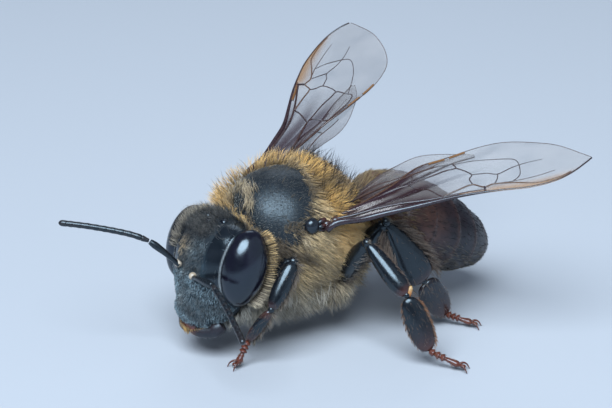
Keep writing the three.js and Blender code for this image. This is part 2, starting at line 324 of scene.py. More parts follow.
def skin_paint():
    p = Paint("skin")
    gloss = p.attribute("gloss")
    dull = p.mottle(3.0, 5.0, (0.003, 0.005, 0.008), (0.010, 0.013, 0.018))
    slate = p.mottle(5.0, 4.0, (0.008, 0.014, 0.020), (0.030, 0.050, 0.066))
    black = p.mottle(5.0, 4.0, (0.004, 0.002, 0.004), (0.018, 0.008, 0.013), high=0.75)
    brown = p.mottle(4.0, 4.0, (0.045, 0.018, 0.013), (0.10, 0.042, 0.026))
    tail = p.blend(p.attribute("warm"), black, brown)
    plain = p.blend(p.attribute("tail"), p.blend(p.attribute("face"), dull, slate), tail)
    grain = p.values(gloss, 0.0, 0.8, 1.0, 0.1)
    pits = p.bump(p.maths("MULTIPLY", p.cells(26.0), grain), 0.014, 0.7)
    p.bump(p.maths("MULTIPLY", p.noise(40.0, 3.0, 0.6), grain), 0.012, 0.7, Normal=pits)
    # a pale line along each eye's inner rim: a painted highlight
    p.set(Base_Color=p.blend(p.attribute("rim"), plain, (0.22, 0.25, 0.27)),
          Roughness=p.values(gloss, 0.0, 1.0, 0.55, 0.19), Specular_IOR_Level=0.6, Specular_Tint=SHEEN)
    return p.material


def shell_paint(name, dark, light, warm=(0.15, 0.042, 0.024), gloss=(0.16, 0.3), grain=0.25):
    """Bare shell, tinted by `warm` where the attribute of that name says."""
    p = Paint(name)
    base = p.mottle(6.0, 5.0, dark, light, high=0.75)
    ends = p.mottle(9.0, 4.0, tuple(c * 0.6 for c in warm), warm)
    p.bump(p.noise(26.0, 4.0), 0.006, grain)
    p.set(Base_Color=p.blend(p.attribute("warm"), base, ends), Roughness=p.vary(14.0, *gloss),
          Specular_IOR_Level=0.7, Specular_Tint=SHEEN)
    return p.material


def eye_paint():
    p = Paint("eye")
    p.bump(p.cells(36.0, feature="SMOOTH_F1"), 0.004, 0.35)
    p.set(Base_Color=p.mottle(1.6, 3.0, (0.002, 0.002, 0.005), (0.006, 0.004, 0.012), low=0.35),
          Roughness=p.vary(9.0, 0.16, 0.24), Specular_IOR_Level=0.85, Specular_Tint=SHEEN)
    return p.material


def guard_paint():
    """Long dark hair, a little paler at its tips."""
    p = Paint("guard_hair")
    tone = p.attribute("tone")
    ends = p.blend(p.attribute("along"), (0.010, 0.010, 0.012), (0.04, 0.035, 0.035))
    p.set(Base_Color=p.blend(p.values(tone, 0.0, 1.0, 0.0, 0.5), ends, (0.008, 0.008, 0.010)),
          Roughness=p.values(tone, 0.0, 1.0, 0.42, 0.6), Specular_IOR_Level=0.2)
    return p.material


def fur_paint(name, light, gold, grey, dark, tones=(-0.5, 0.95)):
    """Fur whose hue follows the attributes gold and grey, and its darkness tone and dim, hair by hair. Each
    hair darkens towards its root, painted shade deep in the coat; dim and tone also carry painted shade and
    painted light in places.
    """
    p = Paint(name)
    tone = p.attribute("tone")
    hue = p.blend(p.attribute("grey"), p.blend(p.attribute("gold"), light, gold), grey)
    hue = p.blend(p.values(tone, 0.0, 1.0, *tones), hue, dark)
    hue = p.blend(p.attribute("dim"), hue, dark)
    # painted shade: each hair darkens towards its root
    shade = p.values(p.attribute("along"), 0.0, 0.6, 0.8, 0.0)
    p.set(Base_Color=p.blend(shade, hue, dark), Roughness=p.values(tone, 0.0, 1.0, 0.42, 0.6),
          Specular_IOR_Level=0.35, Sheen_Weight=0.2)
    return p.material


def membrane_paint():
    p = Paint("membrane")
    gold, base = p.attribute("gold"), p.attribute("base")
    clear = p.mottle(1.2, 3.0, (0.20, 0.20, 0.21), (0.33, 0.32, 0.32))
    tint = p.blend(gold, clear, (0.32, 0.17, 0.06))
    p.bump(p.noise(18.0, 3.0), 0.004, 0.4)
    p.set(Base_Color=p.blend(p.values(base, 0.0, 0.45, 0.0, 1.0), tint, (0.03, 0.012, 0.018)),
          Alpha=p.maths("MULTIPLY_ADD", base, 0.5, p.values(gold, 0.0, 1.0, 0.27, 0.6)),
          Roughness=p.vary(5.0, 0.12, 0.24), Specular_IOR_Level=0.6)
    return p.material


def floor_paint():
    p = Paint("floor")
    p.set(Base_Color=(0.43, 0.473, 0.53), Roughness=0.55, Specular_IOR_Level=0.2)
    return p.material


BLACK, SHINE = (0.003, 0.004, 0.006), (0.009, 0.011, 0.015)
SKIN = skin_paint()
EYE_SHELL = eye_paint()
SHELL = shell_paint("shell", (0.004, 0.005, 0.008), (0.014, 0.016, 0.022))
LEG_SHELL = shell_paint("leg_shell", BLACK, SHINE, gloss=(0.14, 0.28))
FEELER_SHELL = shell_paint("feeler_shell", BLACK, (0.009, 0.011, 0.014), warm=(0.028, 0.018, 0.016),
                           gloss=(0.24, 0.36))
# the pale ivory of the feeler balls is a painted highlight
BALL_HIGHLIGHT_SHELL = shell_paint("ball_highlight_shell", (0.30, 0.24, 0.17), (0.62, 0.55, 0.45), gloss=(0.3, 0.4))
JAW_SHELL = shell_paint("jaw_shell", (0.008, 0.006, 0.009), (0.022, 0.012, 0.016),
                        warm=(0.16, 0.05, 0.012), gloss=(0.34, 0.5), grain=0.6)
PAD_SHELL = shell_paint("pad_shell", (0.24, 0.13, 0.045), (0.52, 0.34, 0.15), warm=(0.55, 0.2, 0.04),
                        gloss=(0.35, 0.5))
VEIN = shell_paint("vein", (0.012, 0.007, 0.012), (0.035, 0.02, 0.028), warm=(0.25, 0.12, 0.04))
MEMBRANE = membrane_paint()
BODY_FUR = fur_paint("body_fur", (0.86, 0.66, 0.36), (0.92, 0.58, 0.19), (0.66, 0.66, 0.60),
                     (0.075, 0.055, 0.032))
FACE_FUR = fur_paint("face_fur", (0.38, 0.56, 0.66), (0.72, 0.56, 0.34), (0.03, 0.035, 0.045),
                     (0.014, 0.020, 0.026), tones=(-0.4, 1.15))
GUARD_HAIR = guard_paint()
LEG_HAIR = fur_paint("leg_hair", (0.16, 0.11, 0.08), (0.50, 0.20, 0.06), (0.30, 0.27, 0.22),
                     (0.03, 0.02, 0.018))

# ---- the skin: head, neck, thorax, waist and abdomen as one body ----
HEAD_CORE = [  # head frame: height, axis y, half-width, front, back
    [-1.72, -0.58, 0.1, 0.1, 0.1], [-1.6, -0.52, 0.68, 0.46, 0.34], [-1.3, -0.27, 1.08, 0.84, 0.5],
    [-0.6, -0.05, 1.47, 1.04, 0.68], [0.0, 0.0, 1.62, 1.06, 0.78], [0.7, 0.02, 1.6, 0.9, 0.8],
    [1.15, 0.1, 1.36, 0.74, 0.66], [1.38, 0.18, 0.95, 0.5, 0.38], [1.48, 0.2, 0.1, 0.1, 0.1],
]
THORAX_CORE = [  # y, axis height, half-width, up, down
    [-2.0, 3.4, 0.1, 0.1, 0.1], [-1.85, 3.4, 0.8, 0.95, 0.75], [-1.45, 3.38, 1.35, 1.52, 1.55],
    [-0.8, 3.35, 1.72, 1.86, 1.95], [-0.1, 3.35, 1.8, 1.92, 2.0], [0.7, 3.35, 1.66, 1.74, 1.8],
    [1.4, 3.33, 1.28, 1.3, 1.35], [1.95, 3.3, 0.78, 0.75, 0.85], [2.2, 3.25, 0.1, 0.1, 0.1],
]
ABDOMEN_CORE = [
    [2.2, 3.25, 0.25, 0.25, 0.25], [2.6, 3.22, 1.05, 0.85, 1.0], [3.3, 3.12, 1.74, 1.32, 1.42],
    [4.2, 2.88, 1.95, 1.45, 1.52], [5.1, 2.52, 1.87, 1.34, 1.42], [6.0, 2.16, 1.49, 1.06, 1.16],
    [6.7, 1.86, 0.94, 0.7, 0.76], [7.05, 1.68, 0.48, 0.38, 0.4], [7.2, 1.6, 0.1, 0.1, 0.1],
]
COXAE = [  # left leg roots: from, to, half-thickness
    ((0.5, -1.15, 2.2), (0.72, -1.62, 1.62), 0.3), ((0.6, 0.8, 2.1), (1.05, 1.1, 1.8), 0.32),
    ((0.5, 1.4, 2.4), (0.8, 1.7, 2.0), 0.32),
]
NECK_AND_WAIST = [((0, 1.7, 3.3), (0, 2.8, 3.25), 0.42), ((0.05, -2.3, 3.1), (0, -1.5, 3.35), 0.5)]
SKIN_CELL, SKIN_SMOOTHING = 0.055, 6
PLATE_RISE = 0.055
TERGITE_EDGES = (0.62, 1.62, 2.62, 3.52, 4.3)  # along the abdomen's axis from its front end
ABDOMEN_FRONT = np.array([0.0, 2.4, 3.25])
ABDOMEN_AXIS = unit([0.0, 5.1, -1.65])


def core(table, count=40, around=64):
    """Rings through a table of (place, axis, half-width, up, down), place along y and up along z."""
    a = np.linspace(0, 2 * math.pi, around, endpoint=False)
    rise = np.sin(a)
    place, axis, wide, up, down = (smooth_rows(table, count)[:, k:k + 1] for k in range(5))
    return ways(wide * np.cos(a), place, axis + np.where(rise > 0, up, down) * rise)


def head_core():
    """The head's rows run up it, and its front looks to -y."""
    rings = core(HEAD_CORE)
    axis = smooth_rows(HEAD_CORE, len(rings))[:, 1:2]
    return head_out(ways(rings[..., 0], axis - (rings[..., 2] - axis), rings[..., 1]))


def remeshed(body, cell, smooth_steps):
    """One closed, even surface round all the bodies."""
    mesh = new_mesh("core", *body)
    piece = add_object("core", mesh)
    net = piece.modifiers.new("net", "REMESH")
    net.mode, net.voxel_size = "VOXEL", cell
    ease = piece.modifiers.new("ease", "SMOOTH")
    ease.factor, ease.iterations = 0.5, smooth_steps
    done = piece.evaluated_get(bpy.context.evaluated_depsgraph_get()).to_mesh()
    verts = np.empty(len(done.vertices) * 3)
    done.vertices.foreach_get("co", verts)
    faces = [tuple(p.vertices) for p in done.polygons]
    bpy.data.objects.remove(piece)
    bpy.data.meshes.remove(mesh)
    return verts.reshape(-1, 3), faces


class Surface:
    """A surface to plant hairs on: its triangles, and a normal at each point."""

    def __init__(self, verts, faces):
        self.verts = np.asarray(verts, float)
        self.faces = faces
        self.tris = np.array([(f[0], f[k], f[k + 1]) for f in faces for k in range(1, len(f) - 1)])
        a, b, c = (self.verts[self.tris[:, k]] for k in range(3))
        cross = np.cross(b - a, c - a)
        self.area = np.linalg.norm(cross, axis=1) / 2
        total = np.zeros_like(self.verts)
        for k in range(3):
            np.add.at(total, self.tris[:, k], cross)
        self.normals = unit(total)
        if np.sum((self.verts - self.verts.mean(0)) * self.normals) < 0:
            self.normals = -self.normals

    def scatter(self, count, weight):
        """Roots and normals, spread by area times the weight of each point."""
        share = self.area * weight[self.tris].mean(1)
        picked = rng.choice(len(self.tris), size=count, p=share / share.sum())
        u, v = rng.random(count), rng.random(count)
        over = u + v > 1
        u[over], v[over] = 1 - u[over], 1 - v[over]
        w = np.stack([1 - u - v, u, v], 1)[:, :, None]
        tris = self.tris[picked]
        return (self.verts[tris] * w).sum(1), unit((self.normals[tris] * w).sum(1))


def eye_middle(side):
    return np.array([side * EYE["x"], EYE["y"], EYE["z"]])


def eye_reach(points):
    """How far points lie from the nearer eye's middle, in its own radii: 1 on its surface."""
    from_middle = (turned(head_in(points) - eye_middle(side), -EYE["lean"], 1, 2) for side in (1, -1))
    return np.minimum(*(np.linalg.norm(way / EYE_SIZE, axis=-1) for way in from_middle))


def scutum(p):
    """1 on the bare dome of the back, 0 in the fur round it."""
    x, y = (p[:, 0] - 0.36) / 1.5, (p[:, 1] + 0.84) / 1.1
    out = (np.abs(x) ** 2.6 + np.abs(y) ** 2.6) ** (1 / 2.6) + 0.12 * noise3(p, 3.0, 8)
    return (1 - smoothstep(0.74, 1.1, out)) * smoothstep(3.5, 3.8, p[:, 2] + 0.25 * (p[:, 1] + 1.2))


def tail_place(p):
    """Distance along the abdomen's own axis from its front end."""
    return (p - ABDOMEN_FRONT) @ ABDOMEN_AXIS


def tail_mask(p):
    return smoothstep(2.15, 2.45, p[:, 1])


def head_mask(p):
    return 1 - smoothstep(-1.95, -1.7, p[:, 1] + 0.1 * (p[:, 2] - 2.7))


def face_relief(h):
    """Heights on the front of the head, from places in the head frame."""
    x, z = np.abs(h[:, 0]), h[:, 2]
    edge = 0.36 + 0.42 * smoothstep(-0.6, -1.5, z)
    shield = (1 - smoothstep(edge - 0.1, edge, x)) * smoothstep(-0.45, -0.62, z)
    groove = (bell(x - edge, 0.045) * smoothstep(-0.4, -0.6, z)
              + bell(z + 0.5, 0.045) * (1 - smoothstep(0.3, 0.42, x)))
    from_socket = np.hypot(x - 0.31, z - 0.05)
    socket = 1 - smoothstep(0.1, 0.2, from_socket)
    socket_rim = bell(from_socket - 0.24, 0.06)
    ridge = bell(x, 0.1) * bell(z - 0.05, 0.4)
    furrow = bell(x, 0.03) * smoothstep(0.3, 0.45, z) * smoothstep(1.3, 1.1, z)
    brow = bell(x - 0.62, 0.3) * bell(z - 0.45, 0.5)
    return (0.11 * shield - 0.05 * groove - 0.1 * socket + 0.035 * socket_rim + 0.05 * ridge
            - 0.03 * furrow + 0.04 * brow)


def back_relief(p):
    """Grooves before and behind the swelling at the rear of the back, and faint lines on the dome."""
    x, y = p[:, 0], p[:, 1]
    swelling = 0.06 * bell(y - 0.85, 0.32)
    grooves = 0.07 * bell(y - 0.42, 0.08) + 0.05 * bell(y - 1.3, 0.1)
    lines = bell(np.abs(x) - 0.75, 0.05) * bell(y + 0.3, 0.6) + bell(x, 0.04) * bell(y + 0.9, 0.7)
    return smoothstep(3.8, 4.4, p[:, 2]) * (swelling - grooves - 0.012 * lines)


def plate_relief(along):
    """Each plate of the abdomen rises towards its rear edge."""
    rise = np.zeros(len(along))
    for front, rear in zip((-0.6, *TERGITE_EDGES), TERGITE_EDGES):
        inside = (along > front) & (along <= rear)
        rise[inside] = PLATE_RISE * ((along[inside] - front) / (rear - front)) ** 1.5
    return rise - 0.02


def shape_skin(verts, normals):
    """The skin with its relief, and the band where it borders an eye, raised a little and painted pale there
    as a highlight.
    """
    on_head, on_tail = head_mask(verts), tail_mask(verts)
    reach = eye_reach(verts)
    # a thin band where the skin meets an eye, on the forward-facing head: raised a little, and painted pale
    # as a highlight
    rim = bell(reach - 1.03, 0.028) * on_head * smoothstep(-0.25, 0.1, -normals[:, 1])
    push = (smoothstep(0.15, 0.6, -normals[:, 1]) * on_head * face_relief(head_in(verts))
            + 0.022 * rim - 0.09 * on_head * smoothstep(1.0, 0.93, reach)
            + (1 - on_head) * (1 - on_tail) * back_relief(verts)
            + on_tail * plate_relief(tail_place(verts)) + 0.008 * noise3(verts, 4.0))
    return verts + normals * push[:, None], rim


cores = [limb(np.array(a) * (side, 1, 1), np.array(b) * (side, 1, 1), [thick] * 3)
         for a, b, thick in COXAE for side in (1, -1)]
cores += [rings_mesh(rings) for rings in (head_core(), core(THORAX_CORE), core(ABDOMEN_CORE))]
cores += [limb(a, b, [thick] * 3) for a, b, thick in NECK_AND_WAIST]
plain = Surface(*remeshed(join(cores), SKIN_CELL, SKIN_SMOOTHING))
skin_verts, eye_rim = shape_skin(plain.verts, plain.normals)
skin = Surface(skin_verts, plain.faces)

# places, normals and masks at each point of the skin, for its colours and for where hairs grow
SY, SZ = skin.verts[:, 1], skin.verts[:, 2]
FACING_Y, FACING_Z = skin.normals[:, 1], skin.normals[:, 2]
HX, HY, HZ = head_in(skin.verts).T
ON_HEAD, ON_TAIL, ON_DOME = head_mask(skin.verts), tail_mask(skin.verts), scutum(skin.verts)
ALONG_TAIL = tail_place(skin.verts)

smooth_cheek = ON_HEAD * smoothstep(0.5, 0.72, np.abs(HX)) * smoothstep(-0.4, 0.0, HZ)
slate_face = ON_HEAD * smoothstep(0.9, 0.5, np.abs(HX)) * smoothstep(0.9, 0.2, HZ)
warm_front = smoothstep(2.9, 1.2, ALONG_TAIL + 0.25 * noise3(skin.verts, 2.0, 3))
plate_edges = sum(bell(ALONG_TAIL - edge + 0.06, 0.1) for edge in TERGITE_EDGES)
# the painted highlight along each eye's rim, kept to its middle height
pale_rim = eye_rim * smoothstep(1.2, 0.95, HZ) * smoothstep(-0.75, -0.3, HZ)
publish("skin", (skin.verts, skin.faces), SKIN, "fur", "head", "thorax", "abdomen",
        tail=ON_TAIL, face=slate_face, warm=np.clip(warm_front + 0.55 * plate_edges, 0, 1),
        gloss=np.clip(smooth_cheek + 0.5 * ON_DOME + 0.6 * ON_TAIL, 0, 1), rim=np.clip(pale_rim, 0, 1))

# ---- eyes and ocelli ----
OCELLI = ((0.38, 0.03, 1.38), (-0.38, 0.03, 1.38), (0.0, -0.24, 1.38))
OCELLUS = 0.13
for side, hand in HANDS:
    ball, faces = ellipsoid(eye_middle(side), EYE_SIZE, EYE["lean"], 96, 72)
    publish(f"eye_{hand}_lens", (head_out(ball), faces), EYE_SHELL, "eye", f"eye_{hand}")
beads, faces = join([ellipsoid(place, OCELLUS, 0, 32, 20) for place in OCELLI])
publish("ocelli", (head_out(beads), faces), EYE_SHELL, "eye")


# ---- mouthparts ----
def horn(knots, sizes, count, sides):
    """A tube on a smooth curve through knots, with its half-thickness from a short list."""
    return tube(smooth_rows(knots, count), along_table(sizes, np.linspace(0, 1, count)), sides)


JAW = np.array([[0.85, -0.45, -1.58], [0.68, -0.66, -1.76], [0.4, -0.9, -1.82], [0.06, -1.02, -1.8]])
TONGUE = np.array([[0, -0.45, -1.66], [0, -0.1, -1.76], [0, 0.3, -1.74], [0, 0.78, -1.6]])
for side, hand in HANDS:
    jaw = horn(head_out(JAW * (side, 1, 1)), [0.2, 0.24, 0.22, 0.19, 0.17, 0.11], 24, 20)
    publish(f"jaw_{hand}", jaw, JAW_SHELL, "mouthpart", f"mandible_{hand}",
            warm=np.clip(1.3 - 3.0 * np.abs(head_in(jaw[0])[:, 0]), 0, 0.9))
lip = limb(head_out([0, -0.96, -1.46]), head_out([0, -1.09, -1.8]), [0.36, 0.4, 0.34], [0.1, 0.1, 0.07],
           outward=(0, -1, 0), sides=28)
publish("labrum", lip, SHELL, "mouthpart", warm=smoothstep(-1.55, -1.75, head_in(lip[0])[:, 2]))
tongue = [horn(head_out(TONGUE), [0.2, 0.19, 0.15, 0.1, 0.06], 20, 14)]
tongue += [horn(head_out(TONGUE + (side * 0.17, 0.03, 0.05)), [0.1, 0.11, 0.09, 0.05], 20, 10)
           for side in (1, -1)]
publish("tongue", join(tongue), SHELL, "mouthpart", "proboscis", warm=0.8)

# ---- feelers ----
FEELERS = {
    "left": dict(scape=[(0.54, -3.52, 2.62), (1.1, -3.56, 2.74), (1.72, -3.51, 2.79)],
                 whip=[(1.76, -3.51, 2.79), (2.53, -3.56, 2.52), (3.35, -3.65, 2.19), (4.1, -3.78, 1.91)]),
    "right": dict(scape=[(-0.2, -3.62, 2.8), (-0.36, -4.0, 3.2), (-0.58, -4.36, 3.54)],
                  whip=[(-0.6, -4.38, 3.56), (-0.97, -4.88, 3.76), (-1.59, -5.82, 3.96),
                        (-2.1, -6.6, 4.06)]),
}
FEELER_RADIUS = 0.095
FEELER_BALL = dict(at=(-0.04, 0.0, 0.03), radius=0.12)
WHIP_LINKS = 11
FIRST_LINK = 0.085  # the first link's part of the whip
LINK_GAP = 0.006


def tinted(parts):
    """Several (body, warmth) as one body, and the warmth of each of its points."""
    warmths = [np.full(len(points), warmth) for (points, _), warmth in parts]
    return join([body for body, _ in parts]), np.concatenate(warmths)


def points_at(line, run, at):
    """Places at distances `at` along a line; run is the distance of each of its own points."""
    return np.stack([np.interp(at, run, line[:, k]) for k in range(3)], 1)


def whip_links(knots):
    """The links of a whip and the core seen between them, as one body with its warmth."""
    whip = smooth_rows(knots, 400)
    run = np.concatenate([[0], np.cumsum(np.linalg.norm(np.diff(whip, axis=0), axis=1))])
    shares = FIRST_LINK + (1 - FIRST_LINK) * np.arange(WHIP_LINKS) / (WHIP_LINKS - 1)
    joints = run[-1] * np.concatenate([[0], shares])
    parts = []
    for k in range(WHIP_LINKS):
        t = np.linspace(0, 1, 9)
        if k == 0:
            swell = mix(0.6, 1.0, t)
        elif k == WHIP_LINKS - 1:
            swell = np.sqrt(np.clip(1 - ((t - 0.45) / 0.56) ** 2 * (t > 0.45), 0.02, 1))
        else:
            swell = 0.86 + 0.14 * np.sin(math.pi * np.clip(t, 0.1, 0.9))
        swell[[0, -1]] *= 0.97
        path = points_at(whip, run, np.linspace(joints[k] + LINK_GAP, joints[k + 1] - LINK_GAP, 9))
        warmth = 0.55 if k == 0 else 0.55 * smoothstep(5, 11, k)
        parts.append((tube(path, FEELER_RADIUS * swell, 16), warmth))
    inner = points_at(whip, run, np.linspace(0.02, run[-1] - 0.1, 60))
    parts.append((tube(inner, FEELER_RADIUS * np.where(np.arange(60) < 8, 0.6, 0.93), 16), 0.4))
    return tinted(parts)


for hand, feeler in FEELERS.items():
    shaft = horn(feeler["scape"], [0.09, 0.075, 0.085, 0.1, 0.11, 0.085], 26, 16)
    publish(f"scape_{hand}_shaft", shaft, FEELER_SHELL, "feeler", f"scape_{hand}", warm=0.0)
    # a pale ball at each feeler's root, its colour a painted highlight
    ball = ellipsoid(np.array(feeler["scape"][0]) + FEELER_BALL["at"], FEELER_BALL["radius"], 0, 32, 20)
    publish(f"feeler_ball_{hand}", ball, BALL_HIGHLIGHT_SHELL, "feeler", warm=0.0)
    whip, warm = whip_links(feeler["whip"])
    publish(f"whip_{hand}", whip, FEELER_SHELL, "feeler", f"flagellum_{hand}", warm=warm)

# ---- wing scales ----
SCALE = dict(at=(1.76, -0.2, 4.0), size=(0.2, 0.25, 0.26))
PLATES = ((1.82, 0.06, 4.13, 20), (1.88, 0.1, 4.0, 5), (1.84, 0.04, 3.88, -15))  # place and turn
PLATE_SIZE = (0.08, 0.19, 0.07)
for side, hand in HANDS:
    mirror = np.array([side, 1, 1])
    plates = [ellipsoid(mirror * (x, y, z), PLATE_SIZE, turn, 24, 16) for x, y, z, turn in PLATES]
    scale = join([ellipsoid(mirror * SCALE["at"], SCALE["size"], 0, 40, 28), *plates])
    publish(f"scale_{hand}", scale, SHELL, "tegula", f"tegula_{hand}",
            warm=0.3 * smoothstep(-0.02, 0.1, scale[0][:, 1]))

# ---- legs ----
LEGS = {  # hip, knee, ankle, heel and foot
    "fore_left": [(0.7, -1.5, 1.9), (1.95, -0.95, 3.1), (2.22, -1.85, 1.86), (1.72, -2.37, 0.8),
                  (1.71, -2.72, 0.1)],
    "mid_left": [(1.1, 1.15, 1.7), (2.63, 1.16, 3.5), (3.93, 1.73, 2.19), (4.48, 2.19, 0.52),
                 (5.2, 2.9, 0.14)],
    "hind_left": [(0.8, 1.6, 1.9), (1.99, 2.21, 3.75), (2.31, 3.4, 1.72), (2.12, 4.38, 0.36),
                  (2.74, 5.0, 0.14)],
    "fore_right": [(-0.7, -1.5, 1.9), (-2.0, -1.0, 2.9), (-2.1, -1.35, 1.55), (-1.85, -1.5, 0.65),
                   (-1.62, -1.55, 0.1)],
    "mid_right": [(-1.1, 1.15, 1.7), (-2.6, 1.1, 3.3), (-3.6, 1.6, 1.85), (-4.2, 1.9, 0.5),
                  (-4.9, 2.3, 0.14)],
    "hind_right": [(-0.8, 1.6, 1.9), (-2.1, 2.5, 3.6), (-2.9, 3.7, 1.75), (-3.0, 4.25, 0.5),
                   (-3.3, 4.9, 0.14)],
}
LIMB_SIZES = {  # half-width and half-depth along each piece
    "fore": dict(femur=([0.2, 0.29, 0.27, 0.2], [0.18, 0.26, 0.24, 0.18]),
                 tibia=([0.22, 0.26, 0.25, 0.18], [0.18, 0.22, 0.21, 0.16]),
                 basitarsus=([0.12, 0.17, 0.16, 0.13], [0.1, 0.13, 0.13, 0.1])),
    "mid": dict(femur=([0.2, 0.28, 0.28, 0.2], [0.18, 0.25, 0.25, 0.18]),
                tibia=([0.17, 0.25, 0.29, 0.26], [0.15, 0.2, 0.23, 0.2]),
                basitarsus=([0.25, 0.36, 0.36, 0.26], [0.14, 0.17, 0.16, 0.12])),
    "hind": dict(femur=([0.2, 0.32, 0.3, 0.2], [0.18, 0.26, 0.25, 0.18]),
                 tibia=([0.17, 0.36, 0.5, 0.5], [0.15, 0.19, 0.19, 0.15]),
                 basitarsus=([0.38, 0.43, 0.4, 0.26], [0.13, 0.15, 0.14, 0.1])),
}
OUTWARD = {"left": (0.8, -0.35, 0.45), "right": (-0.85, -0.3, 0.4)}
TOE_PLACES = (0.0, 0.19, 0.36, 0.52, 1.0)
TOES_OVER_FLOOR = 0.004
TOE_SIZE, LAST_TOE_SIZE = np.array([[0.075, 0.1, 0.135, 0.12], [0.07, 0.085, 0.115, 0.12]])
FOOT_SHARE = 0.92  # the claws reach the rest of the way
CLAW = [(-0.05, 0.04), (0.08, 0.11), (0.19, 0.17), (0.26, 0.187)]  # ahead of the foot, and out
CLAW_THICK = 0.045
BACK = np.array([0.0, 1.0, 0.0])


def foot_parts(heel, foot):
    """Four small joints, two claws and a pad."""
    foot = mix(heel, foot, FOOT_SHARE)
    parts = []
    for k in range(4):
        a, b = mix(heel, foot, TOE_PLACES[k]), mix(heel, foot, TOE_PLACES[k + 1])
        gap = (b - a) * 0.03
        size = TOE_SIZE if k < 3 else LAST_TOE_SIZE
        parts.append(limb(a + gap, b - gap, size, size * 0.85, outward=(0, 0, 1), sides=16, rings=16))
    parts.append(tube([mix(heel, foot, t) for t in (0.02, 0.5, 0.96)], 0.06, 8))
    ahead = unit((foot - heel) * (1, 1, 0))
    across = np.array([-ahead[1], ahead[0], 0.0])
    for side in (1, -1):
        knots = np.array([foot + ahead * forward + across * side * out for forward, out in CLAW])
        knots[1:, 2] = foot[2] + 0.05, max(foot[2] - 0.02, 0.09), 0.02
        parts.append(tube(smooth_rows(knots, 14), CLAW_THICK * np.linspace(1, 0.25, 14), 10))
    parts.append(ellipsoid(foot + ahead * 0.1 - (0, 0, 0.02), (0.09, 0.09, 0.055), 0, 20, 14))
    return join(parts)


def share_along(points, a, b):
    """How far points are on the way from a to b: 0 at a, 1 at b."""
    return (points - a) @ (b - a) / np.sum((b - a) ** 2)


leg_hair = []  # of each brush: roots, normals, lie, lift, length, radius, gold and grey, hair by hair


def brush(body, count, lie, lift, length, radius, across=None, low=0.3, gold=0.0, grey=0.0):
    """Puts hair on a limb: all over, or where its skin looks the way of `across`."""
    surface = Surface(*body)
    weight = np.ones(len(surface.verts))
    if across is not None:
        weight = smoothstep(low, 0.9, surface.normals @ unit(across))
    roots, normals = surface.scatter(count, weight)
    numbers = [np.full(count, value) for value in (lift, length, radius, gold, grey)]
    leg_hair.append((roots, normals, np.broadcast_to(unit(lie), roots.shape), *numbers))


for name, joints in LEGS.items():
    pair, hand = name.split("_")
    hip, knee, ankle, heel, foot = np.array(joints)
    sizes, outward, side = LIMB_SIZES[pair], np.array(OUTWARD[hand]), 1 if hand == "left" else -1

    thigh = join([limb(hip, knee, *sizes["femur"], outward=outward, bow=(side * 0.05, -0.02, 0.1)),
                  ellipsoid(knee, 0.15, 0, 28, 20)])
    publish(f"thigh_{name}", thigh, LEG_SHELL, "leg", f"femur_{name}", warm=0.0)

    shin = limb(knee, ankle, *sizes["tibia"], outward=outward, rings=40, sides=28)
    end = smoothstep(0.82, 1.0, share_along(shin[0], knee, ankle)) * (0.5 if pair == "mid" else 0.25)
    joint = ellipsoid(ankle, 0.1, 0, 24, 16)
    shin = join([shin, joint])
    publish(f"shin_{name}", shin, LEG_SHELL, "leg", f"tibia_{name}",
            warm=np.concatenate([end, np.zeros(len(joint[0]))]))

    sole = limb(mix(ankle, heel, 0.04), heel, *sizes["basitarsus"], outward=outward, rings=40, sides=28)
    fall = np.clip(share_along(sole[0], ankle, heel), 0, 1)
    patches = np.clip(0.7 + 0.9 * noise3(sole[0], 4.0, 7), 0, 1)
    red = {"fore": (0.3 + 0.6 * fall) * patches, "mid": 0.55 * fall ** 5, "hind": 0.05 + 0.5 * fall ** 4}
    publish(f"sole_{name}", sole, LEG_SHELL, "leg", f"basitarsus_{name}", warm=red[pair])
    if pair == "mid":
        pad = ellipsoid(ankle + (0, 0.09, 0.08), (0.09, 0.085, 0.2), -20, 24, 16)
        publish(f"pad_{name}", pad, PAD_SHELL, "leg", warm=smoothstep(0.2, 0.0, pad[0][:, 2] - ankle[2]))

    toes = foot_parts(heel, foot)
    toes[0][:, 2] = np.maximum(toes[0][:, 2], TOES_OVER_FLOOR)
    publish(f"toes_{name}", toes, LEG_SHELL, "foot", f"tarsus_{name}", warm=0.85)

    thigh_way, shin_way, sole_way = unit(knee - hip), unit(ankle - knee), unit(heel - ankle)
    shin_rear, sole_rear = np.cross(shin_way, outward) * side, np.cross(sole_way, outward) * side
    brush(thigh, 200, thigh_way + (0, 0, -0.5), 0.45, 0.34, 0.008, across=(0, 0.3, -1), low=0.2, grey=0.6)
    brush(shin, 70, shin_way, 0.3, 0.11, 0.0045)
    brush(sole, 160, sole_way, 0.3, 0.12, 0.0035, gold=0.05)
    brush(toes, 120, foot - heel, 0.4, 0.1, 0.005, gold=0.6)
    if pair == "fore":
        brush(shin, 220, shin_way + BACK * 0.6, 0.5, 0.32, 0.008, across=BACK, grey=0.6)
        brush(sole, 360, sole_way + BACK * 0.5, 0.5, 0.34, 0.009, across=BACK, low=0.1, grey=0.7)
    if pair == "mid":
        brush(shin, 70, shin_way, 0.35, 0.2, 0.006, across=-shin_rear, low=0.6, gold=0.1)
        brush(sole, 200, sole_way, 0.4, 0.2, 0.007, across=-sole_rear, low=0.7, gold=0.6)
        brush(sole, 90, sole_way, 0.4, 0.16, 0.007, across=sole_rear, low=0.6, gold=0.3)
    if pair == "hind":
        for edge in (shin_rear, -shin_rear):
            brush(shin, 420, shin_way + edge * 0.3, 0.45, 0.6, 0.009, across=edge, low=0.65, grey=0.2)
        brush(sole, 500, sole_way, 0.35, 0.2, 0.007, across=-outward, low=0.0, gold=0.35)

